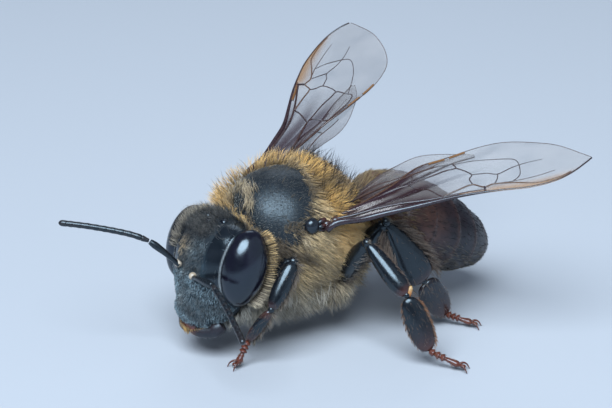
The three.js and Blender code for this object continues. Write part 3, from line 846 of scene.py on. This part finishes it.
# ---- wings ----
FOREWING_EDGE = [  # along, front edge, rear edge, as parts of the length and the chord
    [0, -0.1, 0.14], [0.09, -0.05, 0.24], [0.17, 0, 0.36], [0.27, 0.03, 0.54], [0.36, 0.05, 0.74],
    [0.46, 0.03, 0.87], [0.56, 0, 0.98], [0.66, -0.02, 1.01], [0.76, -0.03, 0.92], [0.86, 0.02, 0.75],
    [0.93, 0.11, 0.58], [0.98, 0.23, 0.42], [1, 0.3, 0.34],
]
HINDWING_EDGE = [
    [0.04, 0.2, 0.25], [0.15, 0.22, 0.48], [0.3, 0.3, 0.72], [0.45, 0.4, 0.9], [0.6, 0.55, 1],
    [0.75, 0.65, 1], [0.9, 0.75, 0.94], [1, 0.8, 0.86],
]
MEMBRANE_HALF = 0.007
HINDWING_DROP = 0.1
PLEAT_HEIGHT, CAMBER_HEIGHT = 0.085, 0.096
FOREWING_VEINS = [  # points (along, across), half-thickness at the start and end, warmth
    ([(0.0, 0.0), (0.1, 0.035), (0.2, 0.085), (0.3, 0.12), (0.4, 0.12), (0.5, 0.09), (0.6, 0.04)],
     0.05, 0.03, 0.1),
    ([(0.0, 0.06), (0.06, 0.17), (0.13, 0.26), (0.225, 0.345), (0.32, 0.385)], 0.05, 0.03, 0.15),
    ([(0.0, 0.1), (0.06, 0.23), (0.14, 0.36), (0.23, 0.49), (0.32, 0.61), (0.42, 0.73)], 0.045, 0.025, 0.2),
    ([(0.32, 0.385), (0.36, 0.31), (0.4, 0.21), (0.44, 0.12)], 0.026, 0.024, 0.1),
    ([(0.33, 0.395), (0.335, 0.5), (0.33, 0.62)], 0.022, 0.02, 0.1),
    ([(0.32, 0.385), (0.363, 0.433), (0.414, 0.477), (0.464, 0.535), (0.5, 0.567), (0.492, 0.66),
      (0.485, 0.745), (0.42, 0.73)], 0.026, 0.018, 0.1),
    ([(0.5, 0.567), (0.533, 0.49), (0.555, 0.37), (0.545, 0.29), (0.555, 0.206)], 0.02, 0.018, 0.1),
    ([(0.44, 0.12), (0.5, 0.17), (0.555, 0.206), (0.596, 0.12), (0.632, 0.154), (0.7, 0.11), (0.78, 0.04),
      (0.866, 0.065), (0.915, 0.12)], 0.026, 0.02, 0.35),
    ([(0.596, 0.0), (0.596, 0.06), (0.596, 0.12)], 0.036, 0.034, 0.0),
    ([(0.555, 0.37), (0.609, 0.365), (0.651, 0.33), (0.703, 0.407), (0.76, 0.45), (0.82, 0.46)],
     0.018, 0.01, 0.1),
    ([(0.632, 0.154), (0.645, 0.24), (0.651, 0.33)], 0.018, 0.016, 0.1),
    ([(0.7, 0.14), (0.73, 0.26), (0.735, 0.43)], 0.016, 0.014, 0.1),
    ([(0.632, 0.154), (0.7, 0.145), (0.787, 0.17), (0.86, 0.21)], 0.016, 0.009, 0.2),
    ([(0.735, 0.43), (0.72, 0.55), (0.66, 0.63), (0.58, 0.68), (0.49, 0.7)], 0.014, 0.012, 0.1),
]
HINDWING_VEINS = [
    ([(0.05, 0.24), (0.2, 0.33), (0.38, 0.42), (0.55, 0.53), (0.7, 0.66)], 0.035, 0.018, 0.3),
    ([(0.06, 0.25), (0.18, 0.42), (0.32, 0.58), (0.48, 0.7), (0.62, 0.84)], 0.025, 0.012, 0.2),
    ([(0.48, 0.7), (0.5, 0.6), (0.52, 0.52)], 0.014, 0.012, 0.2),
    ([(0.5, 0.6), (0.68, 0.74), (0.84, 0.84)], 0.014, 0.01, 0.2),
]
STIGMA = [(0.5, 0.05), (0.55, 0.045), (0.61, 0.02)]
REAR_BARS = ((0.4, 0.46), (0.48, 0.54))  # golden stretches of the rear edge
ROOT_KNOBS = (((0.0, 0.0), 0.15), ((0.035, 0.02), 0.13), ((0.0, 0.1), 0.12), ((0.05, 0.12), 0.1))


class Wing:
    """A wing. Places on it are given as parts of its length and its chord."""

    def __init__(self, hand, fore):
        side, root, turn, lift, roll = WING_PLACE[hand]
        out, up, tilt = (math.radians(v) for v in (turn, lift, roll))
        level = np.array([-side * math.cos(out), math.sin(out), 0.0])
        flat = np.array([side * math.sin(out), math.cos(out), 0.0])
        self.span = flat * math.cos(up) + (0, 0, math.sin(up))
        self.chord = level * math.cos(tilt) + side * np.cross(self.span, level) * math.sin(tilt)
        self.up = side * np.cross(self.span, self.chord)
        self.root, self.fore = np.array(root), fore
        self.length = FOREWING_LENGTH if fore else HINDWING_LENGTH
        self.width = FOREWING_CHORD if fore else HINDWING_CHORD[hand]
        self.outline = FOREWING_EDGE if fore else HINDWING_EDGE
        self.rise = 0.0 if fore else -HINDWING_DROP

    def point(self, t, c, rise=0.0):
        """A place on the wing. Pleats run out from its root, and its face waves a little."""
        t, c, rise = (v[..., None] for v in np.broadcast_arrays(t, c, rise))
        fan = np.arctan2(c * self.width + 0.25, t * self.length + 0.9) * (34 if self.fore else 26)
        pleat = PLEAT_HEIGHT * np.sin(fan) * smoothstep(1.0, 0.1, t) * (0.35 + 0.65 * (1 - t))
        wave = 0.03 * np.sin(t * 13 + c * 5) + 0.02 * np.sin(c * 11 - t * 7)
        camber = CAMBER_HEIGHT * np.sin(math.pi * np.clip(t, 0, 1)) * (1 - (2 * c - 1) ** 2) * self.fore
        height = self.rise + rise + pleat + wave * smoothstep(0.05, 0.4, t) + camber
        return self.root + self.span * self.length * t + self.chord * self.width * c + self.up * height

    def edges(self, t):
        """Where the front and rear edges are across the wing, at t along it."""
        rows = smooth_rows(self.outline, 400)
        return np.interp(t, rows[:, 0], rows[:, 1]), np.interp(t, rows[:, 0], rows[:, 2])

    def sheet(self, along=120, across=56):
        """The membrane, a closed thin sheet, with how far each point is along and across it."""
        first = self.outline[0][0]
        t = first + (1 - first) * (1 - np.cos(np.linspace(0.06, math.pi, along))) / 2
        t[-1] = 1.0
        front, rear = (edge[:, None] for edge in self.edges(t))
        t, s = np.broadcast_arrays(t[:, None], np.linspace(0, 1, across))
        c = front + (rear - front) * s
        sides = [self.point(t, c, rise).reshape(-1, 3) for rise in (MEMBRANE_HALF, -MEMBRANE_HALF)]
        at = np.arange(t.size).reshape(t.shape)
        top = np.stack([at[:-1, :-1], at[:-1, 1:], at[1:, 1:], at[1:, :-1]], -1).reshape(-1, 4)
        here = np.concatenate([at[0], at[1:, -1], at[-1, -2::-1], at[-2:0:-1, 0]])
        there = np.roll(here, -1)
        border = np.stack([there, here, here + t.size, there + t.size], 1)
        faces = np.vstack([top, top[:, ::-1] + t.size, border]).tolist()
        return (np.vstack(sides), faces), np.tile(t.ravel(), 2), np.tile(s.ravel(), 2)

    def vein(self, knots, first, last):
        """A tube on the wing, with its half-thickness at its start and end."""
        places = smooth_rows(knots, 8 * len(knots))
        return tube(self.point(*places.T), np.linspace(first, last, len(places)), 8)


for hand in ("left", "right"):
    for fore, word, veins in ((True, "forewing", FOREWING_VEINS), (False, "hindwing", HINDWING_VEINS)):
        wing = Wing(hand, fore)
        sheet, t, s = wing.sheet()
        at = np.linspace(wing.outline[0][0], 1, 60)
        if fore:
            base = smoothstep(0.6, 0.12, t) * (0.7 + 0.3 * np.sin(s * 21))
            gold = bell(s - 0.03, 0.1) * smoothstep(0.55, 0.64, t) * smoothstep(0.97, 0.85, t)
            lead_size = mix(0.105, 0.024, smoothstep(0.0, 0.75, at))
            trail_size = mix(0.03, 0.009, smoothstep(0.2, 0.6, at))
        else:
            base, gold = smoothstep(0.7, 0.0, t) * 0.6, 0.0
            lead_size, trail_size = mix(0.04, 0.02, at), 0.008
        publish(f"{word}_{hand}_sheet", sheet, MEMBRANE, "wing", f"{word}_{hand}", fix=False,
                base=np.clip(base, 0, 1), gold=np.clip(gold, 0, 1))
        front, rear = wing.edges(at)
        parts = [(wing.vein(knots, first, last), warmth) for knots, first, last, warmth in veins]
        parts.append((tube(wing.point(at, front + 0.012), lead_size, 12), 0.05))
        parts.append((tube(wing.point(at, rear - 0.006), trail_size, 8), 0.3))
        if fore:
            parts.append((wing.vein(STIGMA, 0.05, 0.03), 0.7))
            for a, b in REAR_BARS:
                knots = [(place, wing.edges(place)[1] - 0.02) for place in (a, (a + b) / 2, b)]
                parts.append((wing.vein(knots, 0.04, 0.04), 0.95))
            for place, size in ROOT_KNOBS:
                knob = ellipsoid(wing.point(*place), (size, size * 1.1, size * 0.8), 20, 24, 16)
                parts.append((knob, 0.15))
        tubes, warm = tinted(parts)
        publish(f"{word}_{hand}_veins", tubes, VEIN, "wing", warm=warm)

# ---- hair: closed spines of three rings of three points and a tip ----
HAIR_ALONG = np.array([0.0] * 3 + [0.4] * 3 + [0.75] * 3 + [1.0])
HAIR_TRIANGLES = [(r + k, r + (k + 1) % 3, r + 3 + (k + 1) % 3) for r in (0, 3) for k in range(3)]
HAIR_TRIANGLES += [(r + k, r + 3 + (k + 1) % 3, r + 3 + k) for r in (0, 3) for k in range(3)]
HAIR_TRIANGLES = np.array(HAIR_TRIANGLES + [(6, 7, 9), (7, 8, 9), (8, 6, 9), (0, 2, 1)])
HAIR_SPOT = np.array([[k % 3 / 3 if k < 9 else 0.5, HAIR_ALONG[k]] for k in range(10)]) * 0.003 - 0.0015
MOST_TRIANGLES = 190000
HAIR_GAP = 0.03  # the least height of a hair over the floor


def roots_uv(roots, centre, axis, low, high):
    """Where each root lies on the body unrolled round an axis: angle across, distance along up."""
    side = unit(np.cross(axis, (0, 0, 1) if abs(axis[2]) < 0.9 else (0, 1, 0)))
    from_centre = roots - np.asarray(centre, float)
    turn = np.arctan2(from_centre @ side, from_centre @ np.cross(side, axis)) / (2 * math.pi) + 0.5
    return np.stack([turn, (from_centre @ axis - low) / (high - low)], 1)


def hairs(name, roots, normals, lie, material, unroll, lift, length, radius, clump=0.45, guides=9,
          jitter=0.25, droop=0.0, slot="fur", **values):
    """Hairs, as pieces of fewer than MOST_TRIANGLES. lie is the way they lean, and lift how far they stand
    off the skin, 0 to 1. Every `guides`-th hair draws its neighbours' tips to its own by `clump`."""
    n = len(roots)
    lift, length, radius = (np.broadcast_to(v, n)[:, None] for v in (lift, length, radius))
    flat = unit(lie - normals * np.sum(lie * normals, -1, keepdims=True) + 1e-6)
    half = length * rng.uniform(0.7, 1.15, (n, 1)) * 0.5
    start = unit(normals * lift + flat * (1 - lift) + rng.normal(size=(n, 3)) * jitter * 0.5)
    end = unit(normals * lift * 0.55 + flat * (1.1 - lift * 0.6) + rng.normal(size=(n, 3)) * jitter
               - (0.0, 0.0, droop))
    middle = roots + start * half
    tip = middle + end * half
    if clump:
        leaders = np.arange(0, n, guides)
        tree = KDTree(len(leaders))
        for k, leader in enumerate(leaders):
            tree.insert(roots[leader], k)
        tree.balance()
        near = leaders[[tree.find(p)[1] for p in roots]]
        pull = clump * rng.uniform(0.5, 1.1, (n, 1))
        tip = mix(tip, tip[near], pull)
        middle = mix(middle, middle[near] + (roots - roots[near]) * 0.6, pull * 0.45)
    for points in (tip, middle):
        points[:, 2] = np.maximum(points[:, 2], HAIR_GAP)
    t = np.array([0.0, 0.38, 0.74])[:, None]
    centre = roots[:, None] * (1 - t) ** 2 + 2 * middle[:, None] * t * (1 - t) + tip[:, None] * t ** 2
    along = unit(tip - roots)
    side = unit(np.cross(along, rng.normal(size=(n, 3))))
    angle = (np.arange(3) * 2 * math.pi / 3)[:, None]
    spoke = side[:, None] * np.cos(angle) + np.cross(along, side)[:, None] * np.sin(angle)
    thick = radius * (1.0, 0.85, 0.5)
    rings = centre[:, :, None] + spoke[:, None] * thick[:, :, None, None]
    verts = np.concatenate([rings.reshape(n, 9, 3), tip[:, None]], 1)
    spots = np.clip(roots_uv(roots, *unroll)[:, None] + HAIR_SPOT, 0.0, 1.0)
    values = {"tone": rng.random(n), **values}
    count = math.ceil(n / (MOST_TRIANGLES // len(HAIR_TRIANGLES)))
    for part in range(count):
        mine = np.arange(part, n, count)
        points = (verts[mine].reshape(-1, 3) + ORIGIN) * MM
        faces = (HAIR_TRIANGLES + (np.arange(len(mine)) * 10)[:, None, None]).reshape(-1, 3)
        mesh = bpy.data.meshes.new(name)
        mesh.vertices.add(len(points))
        mesh.vertices.foreach_set("co", points.ravel())
        mesh.loops.add(faces.size)
        mesh.loops.foreach_set("vertex_index", faces.ravel())
        mesh.polygons.add(len(faces))
        mesh.polygons.foreach_set("loop_start", np.arange(len(faces)) * 3)
        mesh.update(calc_edges=True)
        uv = mesh.uv_layers.new(name="OFBake")
        uv.data.foreach_set("uv", spots[mine].reshape(-1, 2)[faces.ravel()].ravel())
        for key, value in values.items():
            set_attribute(mesh, key, np.repeat(np.broadcast_to(value, n)[mine], 10))
        set_attribute(mesh, "along", np.tile(HAIR_ALONG, len(mine)))
        ride(name if count == 1 else f"{name}_{part + 1}", mesh, material)


# ---- the coat ----
HAIRS = dict(fur=47000, dome_nap=3800, dome_fringe=1500, tuft=110, breast=2600, guard=520, face=7500,
             crown=1300, brow=700, cheek=5200, tail_front=3200, tail_rear=3500, tail_under=2500, jaw=170)
BODY_UNROLL = ((0, 0, 3.35), (0, 1, 0), -2.2, 2.4)  # a place on the axis, its way, and its two ends
HEAD_UNROLL = (HEAD_PLACE, (0, 0, 1), -1.9, 1.7)
TAIL_UNROLL = ((0, 4.5, 2.7), ABDOMEN_AXIS, -2.6, 3.0)
LEG_UNROLL = ((0, 0, 3.35), (0, 1, 0), -4.0, 6.0)


def side_of(points):
    return np.where(points[:, 0] >= 0, 1.0, -1.0)


on_thorax = (1 - ON_HEAD) * (1 - smoothstep(2.0, 2.35, SY)) * (1 - ON_DOME) ** 2 * smoothstep(0.9, 1.3, SZ)
roots, normals = skin.scatter(HAIRS["fur"], on_thorax)
y, z = roots[:, 1], roots[:, 2]
low = smoothstep(2.3, 1.6, z)
front = smoothstep(-1.2, -1.7, y) * smoothstep(3.2, 3.9, z)
rear = smoothstep(0.1, 0.6, y) * smoothstep(3.9, 4.5, z)
lie = ways(0.35 * side_of(roots), 0.75, -0.55)
for share, out, back, up in ((low, 0.35, 0.3, -0.9), (front, 0.15, -0.3, 0.9), (rear, 0.25, 0.8, 0.35)):
    lie = mix(lie, ways(out * side_of(roots), back, up), share[:, None])
# under the wing the fur is painted lighter and paler (less gold, lower tone, no dim): painted light where
# the wing shades it; the hair there also stands higher
under_wing = bell(y - 1.0, 0.6) * bell(z - 3.5, 0.6)
shoulder = bell(y + 0.85, 0.55) * smoothstep(2.7, 3.3, z) * smoothstep(4.9, 4.5, z)
# a dark band behind the collar, the painted shadow in the gap between the collar and the side fur
collar_shadow_band = bell(y + 1.15 + 0.25 * (z - 3.4), 0.22) * smoothstep(2.7, 3.0, z) * smoothstep(3.9, 3.6, z)
length = 0.72 + 0.3 * low - 0.3 * front - 0.1 * rear
length *= (0.35 + 0.65 * smoothstep(0.5, 1.0, 1 - scutum(roots))) * (1 - 0.45 * shoulder)
lift = 0.36 + 0.35 * under_wing + 0.34 * low + 0.3 * front + 0.28 * rear
# gold is lowered under the wing, painted light
gold = (smoothstep(-0.1, 0.6, y) * smoothstep(2.6, 3.6, z) * (1 - 0.6 * under_wing) + 0.6 * front
        + 0.7 * rear + 0.2 * noise3(roots, 1.5, 1))
grey = 0.75 * smoothstep(2.6, 1.5, z) + 0.15 * noise3(roots, 1.2, 2)
# dim: the band behind the collar as painted shadow, other tone elsewhere, and none under the wing as painted
# light
dim = (0.85 * collar_shadow_band + 0.3 * front + 0.15 * rear + 0.85 * shoulder + 0.4 * noise3(roots, 2.2, 5)
       + 0.5 * noise3(roots, 7.0, 9)) * (1 - under_wing)
# tone is lowered under the wing, painted light
tone = rng.random(len(roots)) - 0.9 * under_wing
hairs("fur", roots, normals, lie, BODY_FUR, BODY_UNROLL, lift=lift, length=length, radius=0.0085,
      clump=0.28, guides=7, jitter=0.22, droop=0.04, gold=np.clip(gold, 0, 1), grey=np.clip(grey, 0, 1),
      dim=np.clip(dim, 0, 1), tone=np.clip(tone, 0, 1))

# a fine short nap over the bare dome, and upright hair round it, longer on the far side
roots, normals = skin.scatter(HAIRS["dome_nap"], smoothstep(0.1, 0.5, ON_DOME))
hairs("dome_nap", roots, normals, BACK, FACE_FUR, BODY_UNROLL, lift=0.35, length=0.08, radius=0.0045,
      clump=0.0, jitter=0.5, gold=0.4, dim=0.15 + 0.65 * smoothstep(-1.6, -1.0, roots[:, 1]))
roots, normals = skin.scatter(HAIRS["dome_fringe"], bell(ON_DOME - 0.4, 0.25) * (ON_DOME > 0.02))
far = smoothstep(0.3, -0.7, roots[:, 0])
lie = ways(0.0, np.sign(roots[:, 1] + 0.7) * 0.5, 1.0)
hairs("dome_fringe", roots, normals, lie, BODY_FUR, BODY_UNROLL, lift=0.6 + 0.3 * far,
      length=mix(0.2, 0.7, far), radius=0.008, jitter=0.35, gold=0.25 + 0.5 * far, grey=0.2 * (1 - far),
      dim=0.9 * (1 - far))

# pale tufts: four at the front of the dome, and one under each wing scale
TUFTS = [((0.6, -1.8, 4.5), (0.25, -0.25, 1.0), 0.34), ((0.3, -1.6, 4.86), (-0.3, -0.3, 1.0), 0.36),
         ((-0.6, -1.8, 4.5), (-0.25, -0.25, 1.0), 0.34), ((-0.3, -1.6, 4.86), (0.3, -0.3, 1.0), 0.36),
         ((1.8, -0.34, 3.62), (0.3, 0.15, -1.0), 0.42), ((-1.8, -0.34, 3.62), (-0.3, 0.15, -1.0), 0.42)]
for k, (place, way, reach) in enumerate(TUFTS):
    roots, normals = skin.scatter(HAIRS["tuft"], np.exp(-np.sum((skin.verts - place) ** 2, 1) / 0.026))
    hairs(f"tuft_{k + 1}", roots, normals, way, BODY_FUR, BODY_UNROLL, lift=0.45, length=reach,
          radius=0.007, clump=0.5, jitter=0.35, gold=0.1, grey=0.35, dim=0.5 * rng.random(HAIRS["tuft"]))

# longer pale hairs that hang from the breast
on_breast = (1 - ON_HEAD) * smoothstep(2.4, 1.8, SZ) * smoothstep(1.2, 0.4, SY)
roots, normals = skin.scatter(HAIRS["breast"], on_breast * (0.5 + smoothstep(-0.6, -1.4, SY)))
hairs("breast_hair", roots, normals, ways(0.5 * side_of(roots), -0.1, -1.0), BODY_FUR, BODY_UNROLL,
      lift=0.75, length=0.98, radius=0.0105, clump=0.9, guides=28, jitter=0.35, gold=0.0, grey=0.85,
      dim=0.1, tone=0.6 * rng.random(len(roots)))

# long dark hairs that stand over the coat
before_and_behind = bell(SY + 1.6, 0.35) + smoothstep(0.3, 0.7, SY)
roots, normals = skin.scatter(HAIRS["guard"], on_thorax * smoothstep(3.6, 4.4, SZ) * before_and_behind)
lie = ways(0.2 * side_of(roots), np.sign(roots[:, 1] + 0.7) * 0.5, 1.0)
hairs("guard_hairs", roots, normals, lie, GUARD_HAIR, BODY_UNROLL, lift=0.8, length=0.95, radius=0.009,
      clump=0.0, jitter=0.35)

# a pale short nap on the face, which is bare beside the eyes
off_eyes = ON_HEAD * smoothstep(1.03, 1.08, eye_reach(skin.verts))
bare = smoothstep(0.48, 0.62, np.abs(HX)) * smoothstep(-0.4, -0.1, HZ)
on_face = off_eyes * smoothstep(-0.1, 0.25, -FACING_Y) * (1 - 0.99 * bare)
roots, normals = skin.scatter(HAIRS["face"], on_face * (0.15 + 0.85 * smoothstep(1.15, 0.85, HZ)))
x, z = head_in(roots)[:, 0], head_in(roots)[:, 2]
tan = np.clip(bell(z - 0.7, 0.5) + 0.5 * noise3(roots, 3.0, 4), 0, 1) * smoothstep(0.25, -0.4, x)
crown = smoothstep(0.85, 1.15, z)
dim = 0.08 + 0.7 * bell(z - 0.45, 0.4) * smoothstep(-0.6, -0.1, x) + 0.7 * noise3(roots, 5.0, 6)
hairs("face_nap", roots, normals, ways(x * 0.3, -0.2, -1.0), FACE_FUR, HEAD_UNROLL, lift=0.4 + 0.2 * crown,
      length=0.1 + 0.1 * crown, radius=0.0065, clump=0.25, jitter=0.5, gold=tan, grey=crown,
      dim=np.clip(dim, 0, 0.85))

# dark hair on the crown, thinner round the ocelli and towards the eyes
ocelli = sum(bell(np.hypot(HX - side * OCELLI[0][0], HY - OCELLI[0][1]), 0.26) for side in (1, -1))
on_crown = off_eyes * smoothstep(0.95, 1.25, HZ) * smoothstep(-0.3, 0.1, FACING_Z)
on_crown *= np.clip(1 - ocelli, 0, 1) * (0.05 + 0.95 * smoothstep(0.75, 0.35, np.abs(HX + 0.1)))
roots, normals = skin.scatter(HAIRS["crown"], on_crown)
lie = ways(head_in(roots)[:, 0] * 0.2, -0.6, 0.8)
hairs("crown_hair", roots, normals, lie, FACE_FUR, HEAD_UNROLL, lift=0.85, length=0.34, radius=0.006,
      clump=0.4, jitter=0.6, gold=0.7, dim=0.78 + 0.22 * rng.random(len(roots)) ** 0.5)

# tawny hair on the right temple
on_temple = off_eyes * smoothstep(0.1, -0.1, HX) * smoothstep(0.6, 0.9, np.abs(HX))
roots, normals = skin.scatter(HAIRS["brow"], on_temple * smoothstep(0.35, 0.75, HZ))
lie = ways(-0.6, -0.25, 0.1 + 0.7 * smoothstep(0.3, 1.2, head_in(roots)[:, 2]))
hairs("brow_hair", roots, normals, lie, FACE_FUR, HEAD_UNROLL, lift=0.62, length=0.38, radius=0.0055,
      clump=0.35, jitter=0.5, gold=0.75, dim=0.15 + 0.6 * rng.random(len(roots)))

# a comb round each eye, of pale and dark ridges by turns; the dark ridges are painted shade in the gaps
# between the pale ones
COMB = dict(ridges=70, hairs=24, low=-62.0, high=66.0, length=0.33)
ridge = np.repeat(np.arange(COMB["ridges"]), COMB["hairs"])
share = (ridge + rng.normal(size=len(ridge)) * 0.1) / COMB["ridges"]
depth = rng.uniform(0.0, 1.0, len(ridge))
angle = np.radians(mix(COMB["low"], COMB["high"], share))
# the dark ridges stand for painted shade between the pale ones
dark = (ridge % 2).astype(float)
for side, hand in HANDS:
    place = unit(ways(side * (0.55 - 0.75 * depth), np.cos(angle), np.sin(angle))) * EYE_SIZE * 0.97
    away = unit(ways(side * (0.75 - 0.4 * depth), np.cos(angle), np.sin(angle) * 0.7))
    place, away = (turned(way, EYE["lean"], 1, 2) for way in (place, away))
    away = turned(away, HEAD["yaw"], 0, 1)
    low = smoothstep(0.0, -0.8, place[:, 2])
    length = (COMB["length"] + 0.1 * low) * (1 - 0.1 * dark)
    hairs(f"eye_comb_{hand}", head_out(place + eye_middle(side)), away, away, BODY_FUR, HEAD_UNROLL,
          lift=1.0, length=length, radius=0.009, clump=0.0, jitter=0.1, gold=0.3 * (1 - low),
          grey=0.6 * low, dim=0.92 * dark, tone=0.2)

# grey hair on the cheeks
on_cheek = off_eyes * smoothstep(-0.2, 0.1, HY) * smoothstep(-0.2, -0.8, HZ)
roots, normals = skin.scatter(HAIRS["cheek"], on_cheek)
lie = ways(0.5 * np.sign(head_in(roots)[:, 0]), 0.2, -0.9)
hairs("cheek_hair", roots, normals, lie, BODY_FUR, HEAD_UNROLL, lift=0.62, length=0.56, radius=0.0085,
      clump=0.8, guides=24, jitter=0.35, gold=0.0, grey=1.0, dim=0.3 * rng.random(len(roots)))

# the abdomen: long hair at its front, short hair over it, denser at each plate's edge, and pale hair below
TAIL_LIE = ABDOMEN_AXIS + (0, 0, -0.1)
bands = sum(bell(ALONG_TAIL - edge + 0.08, 0.09) for edge in TERGITE_EDGES[1:])
roots, normals = skin.scatter(HAIRS["tail_front"], ON_TAIL * smoothstep(1.25, 0.3, ALONG_TAIL))
hairs("tail_front_hair", roots, normals, TAIL_LIE, BODY_FUR, TAIL_UNROLL, lift=0.2, length=0.26,
      radius=0.0065, clump=0.3, gold=0.4, dim=0.68)
on_plates = ON_TAIL * smoothstep(0.5, 1.2, ALONG_TAIL) * (0.5 + 0.6 * bands)
roots, normals = skin.scatter(HAIRS["tail_rear"], on_plates)
hairs("tail_rear_hair", roots, normals, TAIL_LIE, GUARD_HAIR, TAIL_UNROLL, lift=0.16, length=0.15,
      radius=0.0045, clump=0.2)
roots, normals = skin.scatter(HAIRS["tail_under"], ON_TAIL * smoothstep(0.1, -0.5, FACING_Z))
hairs("tail_under_hair", roots, normals, TAIL_LIE, BODY_FUR, TAIL_UNROLL, lift=0.2, length=0.2,
      radius=0.005, clump=0.2, jitter=0.15, gold=0.0, grey=0.8, dim=0.7)

# orange fringe of the jaws, draped over their fronts
roots, lies = [], []
for side in (1, -1):
    t = rng.random(HAIRS["jaw"])
    bow = t * (1 - t)
    y, z = mix(-1.18, -0.63, t) - 0.5 * bow, mix(-1.72, -1.46, t) - 0.4 * bow
    base = ways(side * mix(0.08, 0.82, t), y, z)
    roots.append(head_out(base) + rng.normal(size=base.shape) * 0.02)
    lies.append(ways(-0.35 * side, -0.15, np.full(len(t), -0.9)))
roots, lie = np.vstack(roots), np.vstack(lies)
hairs("jaw_fringe", roots, unit((0.0, -0.6, -0.5)), lie, BODY_FUR, HEAD_UNROLL, lift=0.22, length=0.3,
      radius=0.0095, clump=0.5, gold=1.0, dim=0.8 * rng.random(len(roots)))

# hair of the legs
roots, normals, lie, lift, length, radius, gold, grey = (np.concatenate(column) for column in zip(*leg_hair))
hairs("leg_hairs", roots, normals, lie, LEG_HAIR, LEG_UNROLL, lift=lift, length=length, radius=radius,
      clump=0.3, jitter=0.2, slot="leg", gold=gold, grey=grey)

# ---- floor, lights and camera ----
FLOOR_HALF = 1.5
corners = [(x * FLOOR_HALF, y * FLOOR_HALF, 0) for x, y in ((-1, -1), (1, -1), (1, 1), (-1, 1))]
floor = add_object("floor", new_mesh("floor", corners, [(0, 1, 2, 3)], fix=False))
floor.data.materials.append(floor_paint())

world = bpy.data.worlds.new("studio")
world.use_nodes = True
world.node_tree.nodes["Background"].inputs["Color"].default_value = (0.60, 0.74, 1.0, 1.0)
world.node_tree.nodes["Background"].inputs["Strength"].default_value = 0.175
bpy.context.scene.world = world
bpy.context.scene.view_settings.view_transform = "Standard"


LAMP_AIM = np.array([0.0, 0.0, 3.0])


def lamp(name, towards, distance, wide, tall, power, colour):
    """An oval soft light, `distance` mm from the point it aims at."""
    data = bpy.data.lights.new(name, "AREA")
    data.shape, data.size, data.size_y = "ELLIPSE", wide * MM, tall * MM
    data.energy, data.color = power, colour
    light = add_object(name, data)
    way = Vector(unit(towards))
    light.location = Vector((LAMP_AIM + ORIGIN) * MM) + way * distance * MM
    light.rotation_euler = way.to_track_quat("Z", "Y").to_euler()


lamp("key", towards=(0.42, -0.4, 0.81), distance=220, wide=205, tall=155, power=0.99,
     colour=(0.86, 0.93, 1.0))
lamp("side", towards=(0.75, 0.62, 0.36), distance=300, wide=480, tall=480, power=0.18,
     colour=(0.82, 0.92, 1.0))
lamp("fill", towards=(-0.9, 0.6, 0.9), distance=220, wide=120, tall=120, power=0.056,
     colour=(0.8, 0.9, 1.0))

turn, rise = math.radians(CAMERA["azimuth"]), math.radians(CAMERA["elevation"])
right = np.array([math.cos(turn), math.sin(turn), 0.0])
ahead = np.array([-math.sin(turn) * math.cos(rise), math.cos(turn) * math.cos(rise), -math.sin(rise)])
wide, tall = CAMERA["frame_px"]
across, down = CAMERA["aim_px"][0] - wide / 2, CAMERA["aim_px"][1] - tall / 2
shift = (across * right - down * np.cross(right, ahead)) / CAMERA["per_mm"]
place = np.array(CAMERA["aim"]) - shift - CAMERA["distance"] * ahead
lens = bpy.data.cameras.new("camera")
lens.sensor_width = CAMERA["sensor"]
lens.lens = CAMERA["sensor"] * CAMERA["per_mm"] * CAMERA["distance"] / wide
lens.clip_start, lens.clip_end = 0.001, 10.0
camera = add_object("camera", lens)
camera.location = (place + ORIGIN) * MM
camera.rotation_euler = Vector(-ahead).to_track_quat("Z", "Y").to_euler()
bpy.context.scene.camera = camera
